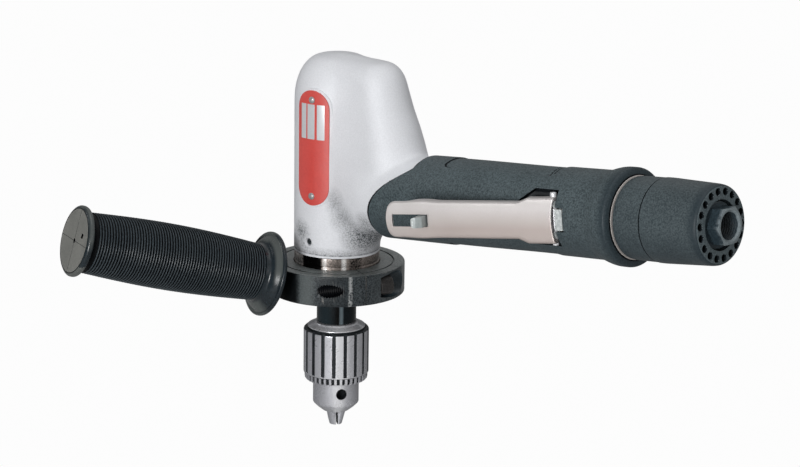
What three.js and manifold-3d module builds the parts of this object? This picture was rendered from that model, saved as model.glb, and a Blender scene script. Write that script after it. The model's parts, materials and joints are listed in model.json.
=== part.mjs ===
// Pneumatic right-angle drill: a vertical air motor and keyed chuck, a clamp-on side handle
// and a rear handle with a throttle lever, an air inlet and an exhaust muffler.
// Millimetres, +Z up. The spindle turns about Z. The origin is where the rear handle's axis crosses it.
import * as THREE from 'three';
import { mergeVertices } from 'three/addons/utils/BufferGeometryUtils.js';
import Module from 'manifold-3d';

const wasm = await Module();
wasm.setup();

// Fits and fineness
const seatGap = 0.3;
const overrun = 6;
const mergeTolerance = 0.0001;
const fineSides = 34;
const midSides = 22;
const hiddenSides = 14;
const smallSides = 12;
const holeSides = 8;
const hexSides = 6;
const degree = Math.PI / 180;

// Head housing
const headRadius = 23.7;
const headTop = 76;
const headBottom = -33;
const headBore = 20;
const headBoreTop = 47;
const headCavityRadius = 13;
const headCavityTop = 62;
const domeRise = 24;
const domeInset = 15;
const crownRise = 1.6;
const ridgeReach = 62;
const ridgeHalfWidth = 20;
const ridgeCornerRise = 8;
const ridgeCornerInset = 7;
const sectionBlend = 2;
const sectionCrowdShare = 0.6;
const underFilletReach = 25;
const underFilletTop = -5;
const setScrewRadius = 1.6;
const setScrewHeight = 7.9;
const setScrewAngle = -86;

// Name plate and its pad on the housing
const padAngle = -78.5;
const padHalfAngle = 25.2;
const padProud = 0.5;
const plateThickness = 0.6;
const plateHalfAngle = 23.4;
const plateHeight = 63.6;
const plateCentre = 28;
const plateMargin = 0.9;
const plateScrewInset = 5.2;
const plateScrewHead = 1.9;
const plateScrewShank = 0.9;
const plateScrewLength = 3;

// Gear case, planetary gears and output spindle
const caseRadius = 23.6;
const caseSpigotRadius = 21.2;
const caseSpigotLength = 12.7;
const caseWall = 1.7;
const caseLength = 24.6;
const caseLipRadius = 14.6;
const caseLipHeight = 3.2;
const gearModule = 0.8;
const sunTeeth = 12;
const planetTeeth = 15;
const ringTeeth = 42;
const planetCount = 3;
const gearFace = 7.6;
const gearBacklash = 0.26;
const planetPinRadius = 2.2;
const carrierThickness = 4.6;
const carrierOverhang = 4;
const bearingFace = 8;
const spindleJournal = 8;
const noseRadius = 10.75;
const sealFace = 2.4;
const spindleStudRadius = 6.35;
const spindleStudLength = 16;

// Air motor
const linerWall = 4;
const linerLength = 56;
const linerOffset = 1.6;
const linerPortWidth = 5;
const linerPortHeight = 16;
const rotorRadius = 13.7;
const rotorShaftRadius = 4.2;
const vaneCount = 5;
const vaneThickness = 1.5;
const vaneDepth = 6;
const endPlateThickness = 7.6;
const rotorBearingRadius = 8.5;
const rotorBearingFace = 5;
const waveSpringRise = 1.6;

// Clamp collar and its screw
const collarRadius = 37.7;
const collarTop = -39.5;
const collarThickness = 17;
const collarGrooveInset = 6.7;
const collarGrooveWidth = 0.9;
const collarGrooveDepth = 1;
const collarSplitAngle = -21;
const collarSplitWidth = 2;
const clampChordShare = 0.6304;
const clampShankShare = 0.232;
const clampHeadShare = 0.384;
const clampSocketShare = 0.21;
const clampHeadLength = 6;
const clampPocketRoom = 1.1;
const clampSeat = 5;
const clampSocketDepth = 3.2;

// Side handle
const sideAngle = 252;
const sideTilt = 15.8;
const sideCross = -55;
const sideStudRadius = 5;
const sideStudSeat = 3.6;
const sideStudReach = 36.6;
const sideNoseReach = 3.7;
const sideNoseRadius = 13.4;
const sideFlangeBack = 3.3;
const sideFlangeRadius = 23.3;
const sideFlangeThickness = 1.4;
const sideGripBack = 6.8;
const sideGripLength = 103.1;
const sideGripRadius = 15.6;
const sideGripSwell = 1.1;
const sideRibCount = 18;
const sideRibDepth = 0.8;
const sideRimRadius = 18.5;
const sideRimLength = 5.2;
const sideFaceRadius = 17.3;
const sideDimpleRadius = 1;
const sideDimpleDepth = 3;

// Keyed chuck
const chuckBack = -74.8;
const chuckConeRadius = 15.6;
const chuckConeRise = 2.9;
const chuckShoulderThickness = 2.2;
const chuckCoreRadius = 14;
const sleeveRadius = 18.25;
const sleeveTop = -78.25;
const sleeveLength = 25.15;
const sleeveWall = 1.65;
const sleeveRim = 1.1;
const fluteCount = 18;
const fluteWidth = 2;
const fluteDepth = 0.8;
const fluteTurn = 11.9;
const crownTeeth = 40;
const crownHeight = 4;
const crownDrop = 1.9;
const chuckNoseRadius = 12.85;
const chuckNoseTop = -105.4;
const chuckNoseShoulder = -119.6;
const chuckNoseEnd = -126.8;
const chuckNoseEndRadius = 6.2;
const keyHoleRadius = 2.9;
const keyHoleHeight = -114.9;
const keyHoleDepth = 5;
const keyHoleAngle = -30;
const jawCount = 3;
const jawRadius = 2.6;
const jawLength = 30;
const jawTilt = 12;
const jawTip = -134.5;
const jawTipCentre = 1.7;
const jawTipRadius = 3.1;
const jawSlit = 0.3;
const jawTravel = 10;
const nutHeight = 5;
const nutDrop = 9;
const chuckScrewRadius = 2;
const chuckScrewHead = 3.9;
const chuckScrewHeadHeight = 3;
const chuckWeb = 3;

// Rear handle: axis, neck, core and grip
const handleTilt = 6.48;
const neckRadius = 22.1;
const neckStart = 38;
const neckReach = 42.2;
const stubRadius = 18.4;
const stubEnd = 86;
const gripRadius = 23.1;
const gripWaist = 22.5;
const gripBead = 24.8;
const gripBore = 18.8;
const gripEdge = 0.9;
const saddleTop = 73;
const saddleBottom = 43.4;
const saddleFlatAngle = 33;
const saddleFallAngle = 38;
const saddlePower = 1.6;
const saddleGap = 0.8;
const waistBack = 3;
const flareBack = 3.1;
const flareLength = 12.6;
const beadLength = 6.4;
const gripTailLength = 7;
const gripEndRadius = 21.6;
const coreSink = 0.1;
const coreSpigotRadius = 17.2;
const coreSpigotLength = 5.1;
const coreTubeRadius = 10.4;
const coreTubeLength = 26;
const inletDuctRadius = 4.5;
const exhaustDuctRadius = 3.9;
const exhaustDuctOffset = 12.4;
const feedDuctRadius = 2.3;
const feedDuctOffset = 9;

// Throttle lever, its bracket and the lock tab
const hingeSetback = 2.3;
const hingeDepth = 19.5;
const hingePinRadius = 1.6;
const hingePinHalf = 13.4;
const leverOpenAngle = 20;
const leverFront = 90;
const leverShift = -0.3;
const leverRear = -1.8;
const leverRearDip = 1.2;
const leverFace = 5.5;
const leverSheet = 1.6;
const leverHalf = 9.3;
const leverFlareHalf = 11.5;
const leverFlareAt = 12.4;
const leverFlareRun = 5.2;
const leverFrontCorner = 8;
const leverWallEnd = 79;
const leverEar = 4;
const slotStart = 66.8;
const slotEnd = 86.6;
const slotHalf = 3.2;
const slotShift = -0.5;
const pocketFull = 162;
const pocketRamp = 9;
const pocketLength = 15.7;
const pocketTailLength = 5.2;
const pocketFrontHalf = 8;
const pocketHalf = 14.3;
const pocketTailHalf = 6.1;
const bracketFloor = 14.5;
const bracketBase = 2.4;
const bracketLength = 9.5;
const bracketEarHalf = 9.2;
const bracketEar = 2.8;
const bracketEarTop = 22;
const bracketTailTop = 22;
const lockPinAt = 70.3;
const lockPinRise = 1.2;
const lockPinRadius = 1.2;
const lockHub = 2.9;
const lockNub = 11.2;
const lockNubRear = -2.6;
const lockNubFront = 3.6;
const lockHalfWidth = 2.7;
const lockLeg = 13;
const lockLegHalf = 1.4;
const lockEar = 4.4;

// Throttle valve
const valveArm = 16;
const valveStemRadius = 2.2;
const valveChamber = 7.5;
const valveChamberEnd = 9.5;
const valveBushLength = 2.8;
const valveSeatFace = 6.2;
const valveSeatThickness = 2.5;
const valveSeatHole = 4;
const valveHeadRadius = 5.5;
const valveHeadThickness = 2.2;
const springTurns = 4;
const springWire = 0.5;
const springRadius = 3.6;

// Exhaust muffler and air inlet
const ringFace = 0.7;
const ringRadius = 20.9;
const adapterSetback = 1.2;
const adapterRadius = 20.8;
const adapterLength = 16.6;
const adapterNoseRadius = 19;
const adapterNoseLength = 6.2;
const capRadius = 21;
const capEndRadius = 19.8;
const capLength = 33.9;
const capRound = 3;
const capWall = 3.2;
const capHoleRing = 16.3;
const capHoleRadius = 1.55;
const capHoleCount = 18;
const hubRadius = 11.6;
const inletHexReach = 5.7;
const inletHexFlats = 17.5;
const inletFlangeDepth = 5.7;
const inletBodyRadius = 7.9;
const inletBodySeat = 21;
const inletBoreRadius = 6.7;
const inletBoreDepth = 18;
const screenThickness = 1;

// Stations along the rear handle's axis
const pocketFront = pocketFull - pocketRamp;
const pocketRear = pocketFull + pocketLength;
const pocketTail = pocketRear + pocketTailLength;
const hingeAt = pocketRear - hingeSetback;
const bracketFront = pocketRear - bracketLength;
const waistAt = pocketFull + waistBack;
const flareStart = pocketTail + flareBack;
const beadStart = flareStart + flareLength;
const beadEnd = beadStart + beadLength;
const gripEnd = beadEnd + gripTailLength;
const coreShoulder = gripEnd - coreSink;
const coreSpigotEnd = coreShoulder + coreSpigotLength;
const coreTubeEnd = coreSpigotEnd + coreTubeLength;
const adapterStart = gripEnd + adapterSetback;
const adapterEnd = adapterStart + adapterLength;
const adapterNoseEnd = adapterEnd + adapterNoseLength;
const capEnd = adapterEnd + capLength;
const inletHexEnd = capEnd + inletHexReach;
const inletFlangeStart = capEnd - inletFlangeDepth;
const inletBodyStart = coreTubeEnd - inletBodySeat;

// Finishes
const cast = { color: 0xc9ccd2, roughness: 0.62, metalness: 0.55 };
const steel = { color: 0xb9bbc0, roughness: 0.32, metalness: 0.9 };
const nickel = { color: 0xcdbfb4, roughness: 0.28, metalness: 0.9 };
const black = { color: 0x25272b, roughness: 0.42, metalness: 0.6 };
const composite = { color: 0x445058, roughness: 0.78, metalness: 0 };
const moulded = { color: 0x15181c, roughness: 0.35, metalness: 0 };
const pale = { color: 0xb9c3c0, roughness: 0.5, metalness: 0.1 };
const red = { color: 0xc8554b, roughness: 0.4, metalness: 0.1 };
const bronze = { color: 0xa08050, roughness: 0.5, metalness: 0.7 };
const fibre = { color: 0x8a7a5c, roughness: 0.9, metalness: 0 };

// A solid for cutting and joining, from any closed geometry.
function toSolid(geometry) {
  const bare = geometry.clone();
  bare.deleteAttribute('normal');
  bare.deleteAttribute('uv');
  const merged = mergeVertices(bare, mergeTolerance);
  const index = merged.index.array;
  const corners = [];
  for (let i = 0; i < index.length; i += 3) {
    const [a, b, c] = [index[i], index[i + 1], index[i + 2]];
    if (a !== b && b !== c && c !== a) corners.push(a, b, c);
  }
  const vertProperties = new Float32Array(merged.attributes.position.array);
  const triVerts = outward(corners, vertProperties);
  return new wasm.Manifold(new wasm.Mesh({ numProp: 3, vertProperties, triVerts }));
}

// Turns the triangles round where they enclose a negative volume.
function outward(corners, points) {
  const at = (i) => new THREE.Vector3(points[3 * i], points[3 * i + 1], points[3 * i + 2]);
  let volume = 0;
  for (let i = 0; i < corners.length; i += 3) {
    volume += at(corners[i]).dot(at(corners[i + 1]).cross(at(corners[i + 2])));
  }
  return new Uint32Array(volume < 0 ? corners.reverse() : corners);
}

// The geometry of a solid.
function toGeometry(solid) {
  const mesh = solid.getMesh();
  const geometry = new THREE.BufferGeometry();
  geometry.setAttribute('position', new THREE.BufferAttribute(new Float32Array(mesh.vertProperties), 3));
  geometry.setIndex(new THREE.BufferAttribute(new Uint32Array(mesh.triVerts), 1));
  geometry.computeVertexNormals();
  return geometry;
}

function join(base, ...others) {
  return toGeometry(others.reduce((whole, other) => whole.add(toSolid(other)), toSolid(base)));
}

function cut(base, ...tools) {
  return toGeometry(tools.reduce((whole, tool) => whole.subtract(toSolid(tool)), toSolid(base)));
}

function common(base, other) {
  return toGeometry(toSolid(base).intersect(toSolid(other)));
}

// A profile of [radius, height] corners turned about Z.
function turned(profile, sides = fineSides) {
  const corners = profile.map(([radius, height]) => new THREE.Vector2(radius, height));
  const first = corners[0];
  const last = corners[corners.length - 1];
  if (first.x > 0 || last.x > 0) corners.push(first.clone());
  return new THREE.LatheGeometry(corners, sides).rotateX(Math.PI / 2);
}

// A round bar along Z.
function rod(radius, from, to, sides = midSides) {
  return turned([[0, from], [radius, from], [radius, to], [0, to]], sides);
}

// A ring along Z.
function ring(inner, outer, from, to, sides = fineSides) {
  return turned([[inner, from], [outer, from], [outer, to], [inner, to]], sides);
}

// An outline in XY extruded along Z between two heights.
function extruded(outline, from, to) {
  const shape = new THREE.Shape(outline.map(([x, y]) => new THREE.Vector2(x, y)));
  return new THREE.ExtrudeGeometry(shape, { depth: to - from, bevelEnabled: false }).translate(0, 0, from);
}

function block([x0, x1], [y0, y1], [z0, z1]) {
  const box = new THREE.BoxGeometry(x1 - x0, y1 - y0, z1 - z0);
  return box.translate((x0 + x1) / 2, (y0 + y1) / 2, (z0 + z1) / 2);
}

// What was built along Z, laid along X, or along -Y.
const alongX = (geometry) => geometry.rotateY(Math.PI / 2);
const alongMinusY = (geometry) => geometry.rotateX(Math.PI / 2);
const turnedTo = (geometry, angle) => geometry.rotateZ(angle * degree);

// Rings of equal corner counts joined into a closed skin: capped at both ends, or closed on itself.
function lofted(rings, looped = false) {
  const count = rings[0].length;
  const points = rings.flat();
  const index = [];
  const bands = looped ? rings.length : rings.length - 1;
  for (let i = 0; i < bands; i += 1) {
    const low = i * count;
    const high = ((i + 1) % rings.length) * count;
    for (let j = 0; j < count; j += 1) {
      const next = (j + 1) % count;
      index.push(low + j, low + next, high + next, low + j, high + next, high + j);
    }
  }
  if (!looped) {
    const start = points.push(middle(rings[0])) - 1;
    const end = points.push(middle(rings[rings.length - 1])) - 1;
    const last = (rings.length - 1) * count;
    for (let j = 0; j < count; j += 1) {
      const next = (j + 1) % count;
      index.push(start, next, j, end, last + j, last + next);
    }
  }
  const geometry = new THREE.BufferGeometry().setFromPoints(points);
  geometry.setIndex(index);
  return geometry;
}

function middle(corners) {
  const sum = corners.reduce((total, corner) => total.add(corner), new THREE.Vector3());
  return sum.divideScalar(corners.length);
}

// Head housing: plan sections of a round tower with a rounded ridge behind it.
// Each row of shares: height in the tower, the ridge's reach, the ridge's half width.
const ridgeRowShares = [
  [0, 0.3, 0.3],
  [0.21, 0.3, 0.5],
  [0.33, 0.86, 0.92],
  [0.46, 0.995, 0.96],
  [0.53, 1, 0.95],
  [0.615, 0.952, 0.9],
  [0.69, 0.9, 0.85],
  [0.775, 0.83, 0.79],
  [0.86, 0.775, 0.74],
  [0.935, 0.727, 0.7],
  [1, 0.7, 0.66],
];

function ridgeAt(height) {
  const share = (height - headBottom) / (headTop - headBottom);
  const above = Math.max(1, ridgeRowShares.findIndex(([at]) => at >= share - Number.EPSILON));
  const [lowAt, lowReach, lowWidth] = ridgeRowShares[above - 1];
  const [highAt, highReach, highWidth] = ridgeRowShares[above];
  const blend = (share - lowAt) / (highAt - lowAt);
  const reach = ridgeReach * THREE.MathUtils.lerp(lowReach, highReach, blend);
  const halfWidth = ridgeHalfWidth * THREE.MathUtils.lerp(lowWidth, highWidth, blend);
  return { reach, halfWidth };
}

// How far a rounded top edge has drawn in at a height, for an edge of this rise and inset.
function drawnIn(height, rise, inset) {
  const climb = Math.max(0, (height - (headTop - rise)) / rise);
  return inset * (1 - Math.sqrt(Math.max(0, 1 - climb * climb)));
}

// Distance from the spindle's axis to the ridge's outline at an angle from +X.
function ridgeOutline(angle, reach, halfWidth) {
  const centre = Math.max(0, reach - halfWidth);
  const sine = Math.abs(Math.sin(angle));
  const cosine = Math.cos(angle);
  if (cosine <= 0) return 0;
  if (Math.atan2(sine, cosine) < Math.atan2(halfWidth, centre)) {
    return centre * cosine + Math.sqrt(Math.max(0, halfWidth * halfWidth - centre * centre * sine * sine));
  }
  return halfWidth / sine;
}

const neckWaistShare = 0.6;
const neckWaistFromShare = 0.52;

// Distance from the spindle's axis to the leaning neck's skin, which is drawn in beside the tower.
function neckOutline(angle, height) {
  const sine = Math.abs(Math.sin(angle));
  const cosine = Math.cos(angle);
  const lean = handleTilt * degree;
  const radius = neckRadius * (1 - neckWaistShare * Math.max(0, sine - neckWaistFromShare));
  const level = height * Math.cos(lean);
  if (cosine <= 0 || Math.abs(level) >= radius) return 0;
  const spread = sine * sine + (cosine * Math.sin(lean)) ** 2;
  const slant = level * cosine * Math.sin(lean);
  const reach = (slant + Math.sqrt(slant * slant + spread * (radius * radius - level * level))) / spread;
  return Math.min(reach, neckReach / cosine);
}

const filletClimbShare = 1.5;
const filletLobeShare = 6;

// The fillet under the neck: how far it stands out of the tower at an angle and a height.
function underFillet(angle, height) {
  const climb = Math.min(1, (height - headBottom) / (underFilletTop - headBottom));
  if (height > underFilletTop) return 0;
  return underFilletReach * climb ** filletClimbShare * Math.max(0, Math.cos(angle)) ** filletLobeShare;
}

function towerSection(height) {
  const { reach, halfWidth } = ridgeAt(height);
  const round = headRadius - drawnIn(height, domeRise, domeInset);
  const corner = drawnIn(height, ridgeCornerRise, ridgeCornerInset);
  const corners = [];
  for (let i = 0; i < fineSides; i += 1) {
    const turn = (i / fineSides) * 2 * Math.PI;
    const angle = turn - sectionCrowdShare * Math.sin(turn);
    const ridge = ridgeOutline(angle, reach - corner, halfWidth - corner);
    const skin = smoothLarger(smoothLarger(round, ridge), neckOutline(angle, height));
    const radius = Math.max(skin, Math.min(round + underFillet(angle, height), neckReach));
    corners.push(new THREE.Vector3(radius * Math.cos(angle), radius * Math.sin(angle), height));
  }
  return corners;
}

// The larger of two lengths, with a fillet where they are nearly equal.
function smoothLarger(first, second) {
  const gap = Math.max(0, 2 * sectionBlend - Math.abs(first - second));
  return Math.max(first, second) + (gap * gap) / (8 * sectionBlend);
}

const crownShares = [[0.75, 0.45], [0.4, 0.85]];
const towerHeightShares = [
  0, 0.04, 0.075, 0.1, 0.115, 0.13, 0.145, 0.16, 0.19, 0.23, 0.28, 0.33, 0.38, 0.42, 0.46, 0.495, 0.53, 0.57,
  0.615, 0.69,
];
const topEdgeShares = [0, 0.3, 0.5, 0.66, 0.79, 0.88, 0.945, 0.985, 1];

function headTower() {
  const straightTop = headTop - domeRise;
  const rings = towerHeightShares.map((share) => towerSection(headBottom + share * (headTop - headBottom)));
  topEdgeShares.forEach((share) => rings.push(towerSection(straightTop + share * domeRise)));
  const last = rings[rings.length - 1];
  const centre = middle(last);
  crownShares.forEach(([widthShare, riseShare]) => {
    rings.push(last.map((corner) => corner.clone().sub(centre).multiplyScalar(widthShare).add(centre)
      .setZ(headTop + riseShare * crownRise)));
  });
  return lofted(rings);
}

// Where the grip begins along the handle, at an angle from the top.
function saddleAt(angle) {
  const fromTop = Math.abs(Math.atan2(Math.sin(angle), Math.cos(angle))) / degree;
  const past = Math.max(0, fromTop - saddleFlatAngle) / saddleFallAngle;
  return saddleBottom + (saddleTop - saddleBottom) * Math.exp(-(past ** saddlePower));
}

// A ring round the rear handle's axis. The angle is measured from the top.
function handleRing(radius, reachAt, sides = fineSides) {
  const corners = [];
  for (let i = 0; i < sides; i += 1) {
    const angle = (i / sides) * 2 * Math.PI;
    corners.push(new THREE.Vector3(reachAt(angle), -radius * Math.sin(angle), radius * Math.cos(angle)));
  }
  return corners;
}

function handleDuct(radius, from, to, y, z) {
  return alongX(rod(radius, from, to, smallSides)).translate(0, y, z);
}

function ducts(from, to) {
  return [
    handleDuct(exhaustDuctRadius, from, to, 0, exhaustDuctOffset),
    handleDuct(exhaustDuctRadius, from, to, 0, -exhaustDuctOffset),
  ];
}

function neck() {
  const end = (angle) => saddleAt(angle) - saddleGap;
  return lofted([
    handleRing(neckRadius, () => neckStart),
    handleRing(neckRadius, end),
    handleRing(stubRadius, end),
    handleRing(stubRadius, () => stubEnd),
  ]).rotateY(-handleTilt * degree);
}

// A patch of a shell round Z: a stadium outline wrapped on a cylinder about the pad's angle.
function wrappedStadium(inner, outer, halfAngle, height, centre) {
  const half = halfAngle * degree * outer;
  const straight = height / 2 - half;
  const outline = [];
  for (let i = 0; i <= smallSides; i += 1) {
    const angle = (i / smallSides) * Math.PI;
    outline.push([half * Math.cos(angle), straight + half * Math.sin(angle)]);
  }
  for (let i = 0; i <= smallSides; i += 1) {
    const angle = Math.PI + (i / smallSides) * Math.PI;
    outline.push([half * Math.cos(angle), -straight + half * Math.sin(angle)]);
  }
  const slab = extruded(outline, 0, outer + overrun).rotateX(Math.PI / 2).rotateZ(Math.PI);
  slab.translate(0, 0, centre).rotateZ((padAngle - 90) * degree);
  const shell = ring(inner, outer, centre - height, centre + height);
  return common(shell, slab);
}

function spotted(geometry, angle, height) {
  return turnedTo(geometry.rotateY(Math.PI / 2).translate(0, 0, height), angle);
}

const padRadius = headRadius + padProud;
const plateSeat = padRadius + seatGap;
const plateOuter = plateSeat + plateThickness;
const plateScrewOffset = plateHeight / 2 - plateScrewInset;
const caseTop = headBottom - seatGap;
const caseRim = caseTop + caseSpigotLength;
const setScrewAt = headBottom + setScrewHeight;

function headHousing() {
  const handleTools = [
    ...ducts(headBore - linerWall, stubEnd + overrun),
    handleDuct(feedDuctRadius, headBore - linerWall, stubEnd + overrun, -feedDuctOffset, 0),
  ].map((tool) => tool.rotateY(-handleTilt * degree));
  const bore = turned([
    [0, headBottom - overrun],
    [caseSpigotRadius + seatGap, headBottom - overrun],
    [caseSpigotRadius + seatGap, caseRim + seatGap],
    [headBore, caseRim + seatGap],
    [headBore, headBoreTop],
    [headCavityRadius, headBoreTop],
    [headCavityRadius, headCavityTop - headCavityRadius / 2],
    [headCavityRadius / 2, headCavityTop],
    [0, headCavityTop],
  ]);
  const setHole = spotted(
    rod(setScrewRadius + seatGap, headBore, headRadius + overrun, smallSides), setScrewAngle, setScrewAt);
  const screwHoles = [-plateScrewOffset, plateScrewOffset].map((offset) => spotted(
    rod(plateScrewShank + seatGap, padRadius - plateScrewLength, padRadius + overrun, smallSides), padAngle,
    plateCentre + offset));
  const padHeight = plateHeight + 2 * plateMargin;
  const pad = wrappedStadium(headBore + linerWall / 2, padRadius, padHalfAngle, padHeight, plateCentre);
  const plateRoom = wrappedStadium(padRadius, plateOuter + overrun, padHalfAngle, padHeight, plateCentre);
  const body = join(cut(headTower(), plateRoom), neck(), pad);
  return cut(body, bore, setHole, ...screwHoles, ...handleTools);
}

function namePlate() {
  const plate = wrappedStadium(plateSeat, plateOuter, plateHalfAngle, plateHeight, plateCentre);
  const holes = [-plateScrewOffset, plateScrewOffset].map((offset) => spotted(
    rod(plateScrewShank + seatGap, plateSeat - overrun, plateOuter + overrun, smallSides), padAngle,
    plateCentre + offset));
  return cut(plate, ...holes);
}

function plateScrew(offset) {
  const under = plateOuter + seatGap;
  const screw = turned([
    [0, padRadius - plateScrewLength + seatGap],
    [plateScrewShank, padRadius - plateScrewLength + seatGap],
    [plateScrewShank, under],
    [plateScrewHead, under],
    [plateScrewHead / 2, under + plateScrewHead / 2],
    [0, under + plateScrewHead / 2],
  ], smallSides);
  return spotted(screw, padAngle, plateCentre + offset);
}

function lockSetScrew() {
  const point = caseSpigotRadius + seatGap;
  return spotted(rod(setScrewRadius, point, headRadius - seatGap, smallSides), setScrewAngle, setScrewAt);
}

// Gear case: its spigot screws into the housing, its lower end takes the clamp collar.
const caseBore = caseSpigotRadius - caseWall;
const caseBottom = caseTop - caseLength;
const bearingTop = caseBottom + caseLipHeight + bearingFace + seatGap;

function gearCase() {
  return turned([
    [caseLipRadius, caseBottom],
    [caseRadius, caseBottom],
    [caseRadius, caseTop],
    [caseSpigotRadius, caseTop],
    [caseSpigotRadius, caseRim],
    [caseBore, caseRim],
    [caseBore, caseBottom + caseLipHeight],
    [caseLipRadius, caseBottom + caseLipHeight],
  ]);
}

const addendumShare = 0.85;
const dedendumShare = 1.2;
const pressureAngle = 20;

// A gear outline with straight-sided teeth, thicker by twice the growth.
function gearOutline(teeth, growth, inward) {
  const pitchRadius = (gearModule * teeth) / 2;
  const addendum = gearModule * addendumShare;
  const dedendum = gearModule * dedendumShare;
  const tip = inward ? pitchRadius + dedendum : pitchRadius + addendum;
  const root = inward ? pitchRadius - addendum : pitchRadius - dedendum;
  const halfPitch = (Math.PI * gearModule) / 4 + growth;
  const slope = Math.tan(pressureAngle * degree);
  const half = (radius) => (halfPitch - (radius - pitchRadius) * slope) / radius;
  const corners = [];
  for (let i = 0; i < teeth; i += 1) {
    const centre = (i / teeth) * 2 * Math.PI;
    const rows = [[root, -1], [tip, -1], [tip, 1], [root, 1]];
    rows.forEach(([radius, side]) => {
      const angle = centre + side * half(radius);
      corners.push([radius * Math.cos(angle), radius * Math.sin(angle)]);
    });
  }
  return corners;
}

const carrierRadius = (gearModule * (sunTeeth + planetTeeth)) / 2;
const ringOuter = caseBore - seatGap;
const gearTop = caseRim - endPlateThickness - 2 * seatGap;
const gearBottom = gearTop - gearFace;

function ringGear() {
  const blank = rod(ringOuter, gearBottom, gearTop, fineSides);
  return cut(blank, extruded(gearOutline(ringTeeth, gearBacklash / 2, true), gearBottom - overrun,
    gearTop + overrun));
}

const planetBore = planetPinRadius + seatGap;

function planetGear(angle) {
  const gear = extruded(gearOutline(planetTeeth, -gearBacklash / 2, false), gearBottom, gearTop);
  const bored = cut(gear, rod(planetBore, gearBottom - overrun, gearTop + overrun, smallSides));
  return turnedTo(bored.translate(carrierRadius, 0, 0), angle);
}

const carrierTop = gearBottom - seatGap;
const carrierBottom = carrierTop - carrierThickness;

function planetPin(angle) {
  const pin = rod(planetPinRadius, carrierBottom + seatGap, gearTop - seatGap, smallSides);
  return turnedTo(pin.translate(carrierRadius, 0, 0), angle);
}

const noseBottom = chuckBack + seatGap;

function outputSpindle() {
  const spindle = turned([
    [0, noseBottom - spindleStudLength],
    [spindleStudRadius, noseBottom - spindleStudLength],
    [spindleStudRadius, noseBottom],
    [noseRadius, noseBottom],
    [noseRadius, bearingTop - bearingFace - seatGap],
    [spindleJournal, bearingTop - bearingFace - seatGap],
    [spindleJournal, bearingTop],
    [carrierRadius + carrierOverhang, bearingTop],
    [carrierRadius + carrierOverhang, carrierTop],
    [0, carrierTop],
  ]);
  const pinHoles = planetAngles.map((angle) => turnedTo(
    rod(planetBore, carrierBottom, carrierTop + overrun, smallSides).translate(carrierRadius, 0, 0), angle));
  const screwHoleStart = noseBottom - spindleStudLength - overrun;
  const screwHole = rod(chuckScrewRadius + seatGap, screwHoleStart, noseBottom, smallSides);
  return cut(spindle, ...pinHoles, screwHole);
}

const planetAngles = Array.from({ length: planetCount }, (_, i) => (i * 360) / planetCount);

function spindleBearing() {
  return ring(spindleJournal + seatGap, caseBore - seatGap, bearingTop - bearingFace, bearingTop, midSides);
}

function spindleSeal() {
  return ring(noseRadius + seatGap, caseLipRadius - seatGap, caseBottom, caseBottom + sealFace, midSides);
}

// Air motor: end plates, liner, rotor with its pinion, vanes and bearings, stacked upward from the rim.
const plateOuterRadius = ringOuter;
const lowerPlateBottom = caseRim - endPlateThickness;
const linerBottom = caseRim + seatGap;
const linerTop = linerBottom + linerLength;
const upperPlateBottom = linerTop + seatGap;
const upperPlateTop = upperPlateBottom + endPlateThickness;
const linerOuter = headBore - seatGap;
const linerBore = linerOuter - linerWall;
const shaftClearance = rotorShaftRadius + seatGap;
const bearingSeat = rotorBearingRadius + seatGap;
const rotorBottom = linerBottom + seatGap;
const rotorTop = linerTop - seatGap;

function endPlate(outer, bottom, flip) {
  const rise = rotorBearingFace + seatGap;
  const plate = turned([
    [shaftClearance, rise],
    [bearingSeat, rise],
    [bearingSeat, 0],
    [outer, 0],
    [outer, endPlateThickness],
    [shaftClearance, endPlateThickness],
  ], midSides);
  if (flip) plate.rotateX(Math.PI).translate(0, 0, endPlateThickness);
  return plate.translate(0, 0, bottom);
}

function rotorBearing(from) {
  return ring(shaftClearance, rotorBearingRadius, from, from + rotorBearingFace, hiddenSides);
}

function motorLiner() {
  const bore = rod(linerBore, linerBottom - overrun, linerTop + overrun).translate(linerOffset / 2, 0, 0);
  const ports = [exhaustDuctOffset, -exhaustDuctOffset].map((height) => block(
    [0, linerOuter + overrun], [-linerPortWidth / 2, linerPortWidth / 2],
    [height - linerPortHeight / 4, height + linerPortHeight / 4]));
  return cut(rod(linerOuter, linerBottom, linerTop, fineSides), bore, ...ports);
}

const vaneTip = linerBore - linerOffset / 2 - seatGap;
const vaneFoot = vaneTip - vaneDepth;
const slotFoot = vaneFoot - seatGap;

function motorRotor() {
  const pinion = extruded(gearOutline(sunTeeth, -gearBacklash / 2, false), gearBottom + seatGap, gearTop);
  const shaftTop = upperPlateTop;
  const shaft = rod(rotorShaftRadius, gearTop, shaftTop, smallSides);
  const body = rod(rotorRadius, rotorBottom, rotorTop);
  const slots = vaneAngles.map((angle) => turnedTo(block(
    [slotFoot, rotorRadius + overrun], [-vaneThickness / 2 - seatGap, vaneThickness / 2 + seatGap],
    [rotorBottom - overrun, rotorTop + overrun]), angle));
  const slotted = cut(body, ...slots);
  return join(slotted, shaft, pinion);
}

const vaneAngles = Array.from({ length: vaneCount }, (_, i) => (i * 360) / vaneCount);

function vane(angle) {
  const blade = block([vaneFoot, vaneTip], [-vaneThickness / 2, vaneThickness / 2], [rotorBottom, rotorTop]);
  return turnedTo(blade, angle);
}

function waveSpring() {
  const from = upperPlateTop + seatGap;
  const to = Math.min(from + waveSpringRise, headBoreTop - seatGap);
  return ring(rotorBearingRadius + linerWall / 2, headCavityRadius + linerWall, from, to, hiddenSides);
}

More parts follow.
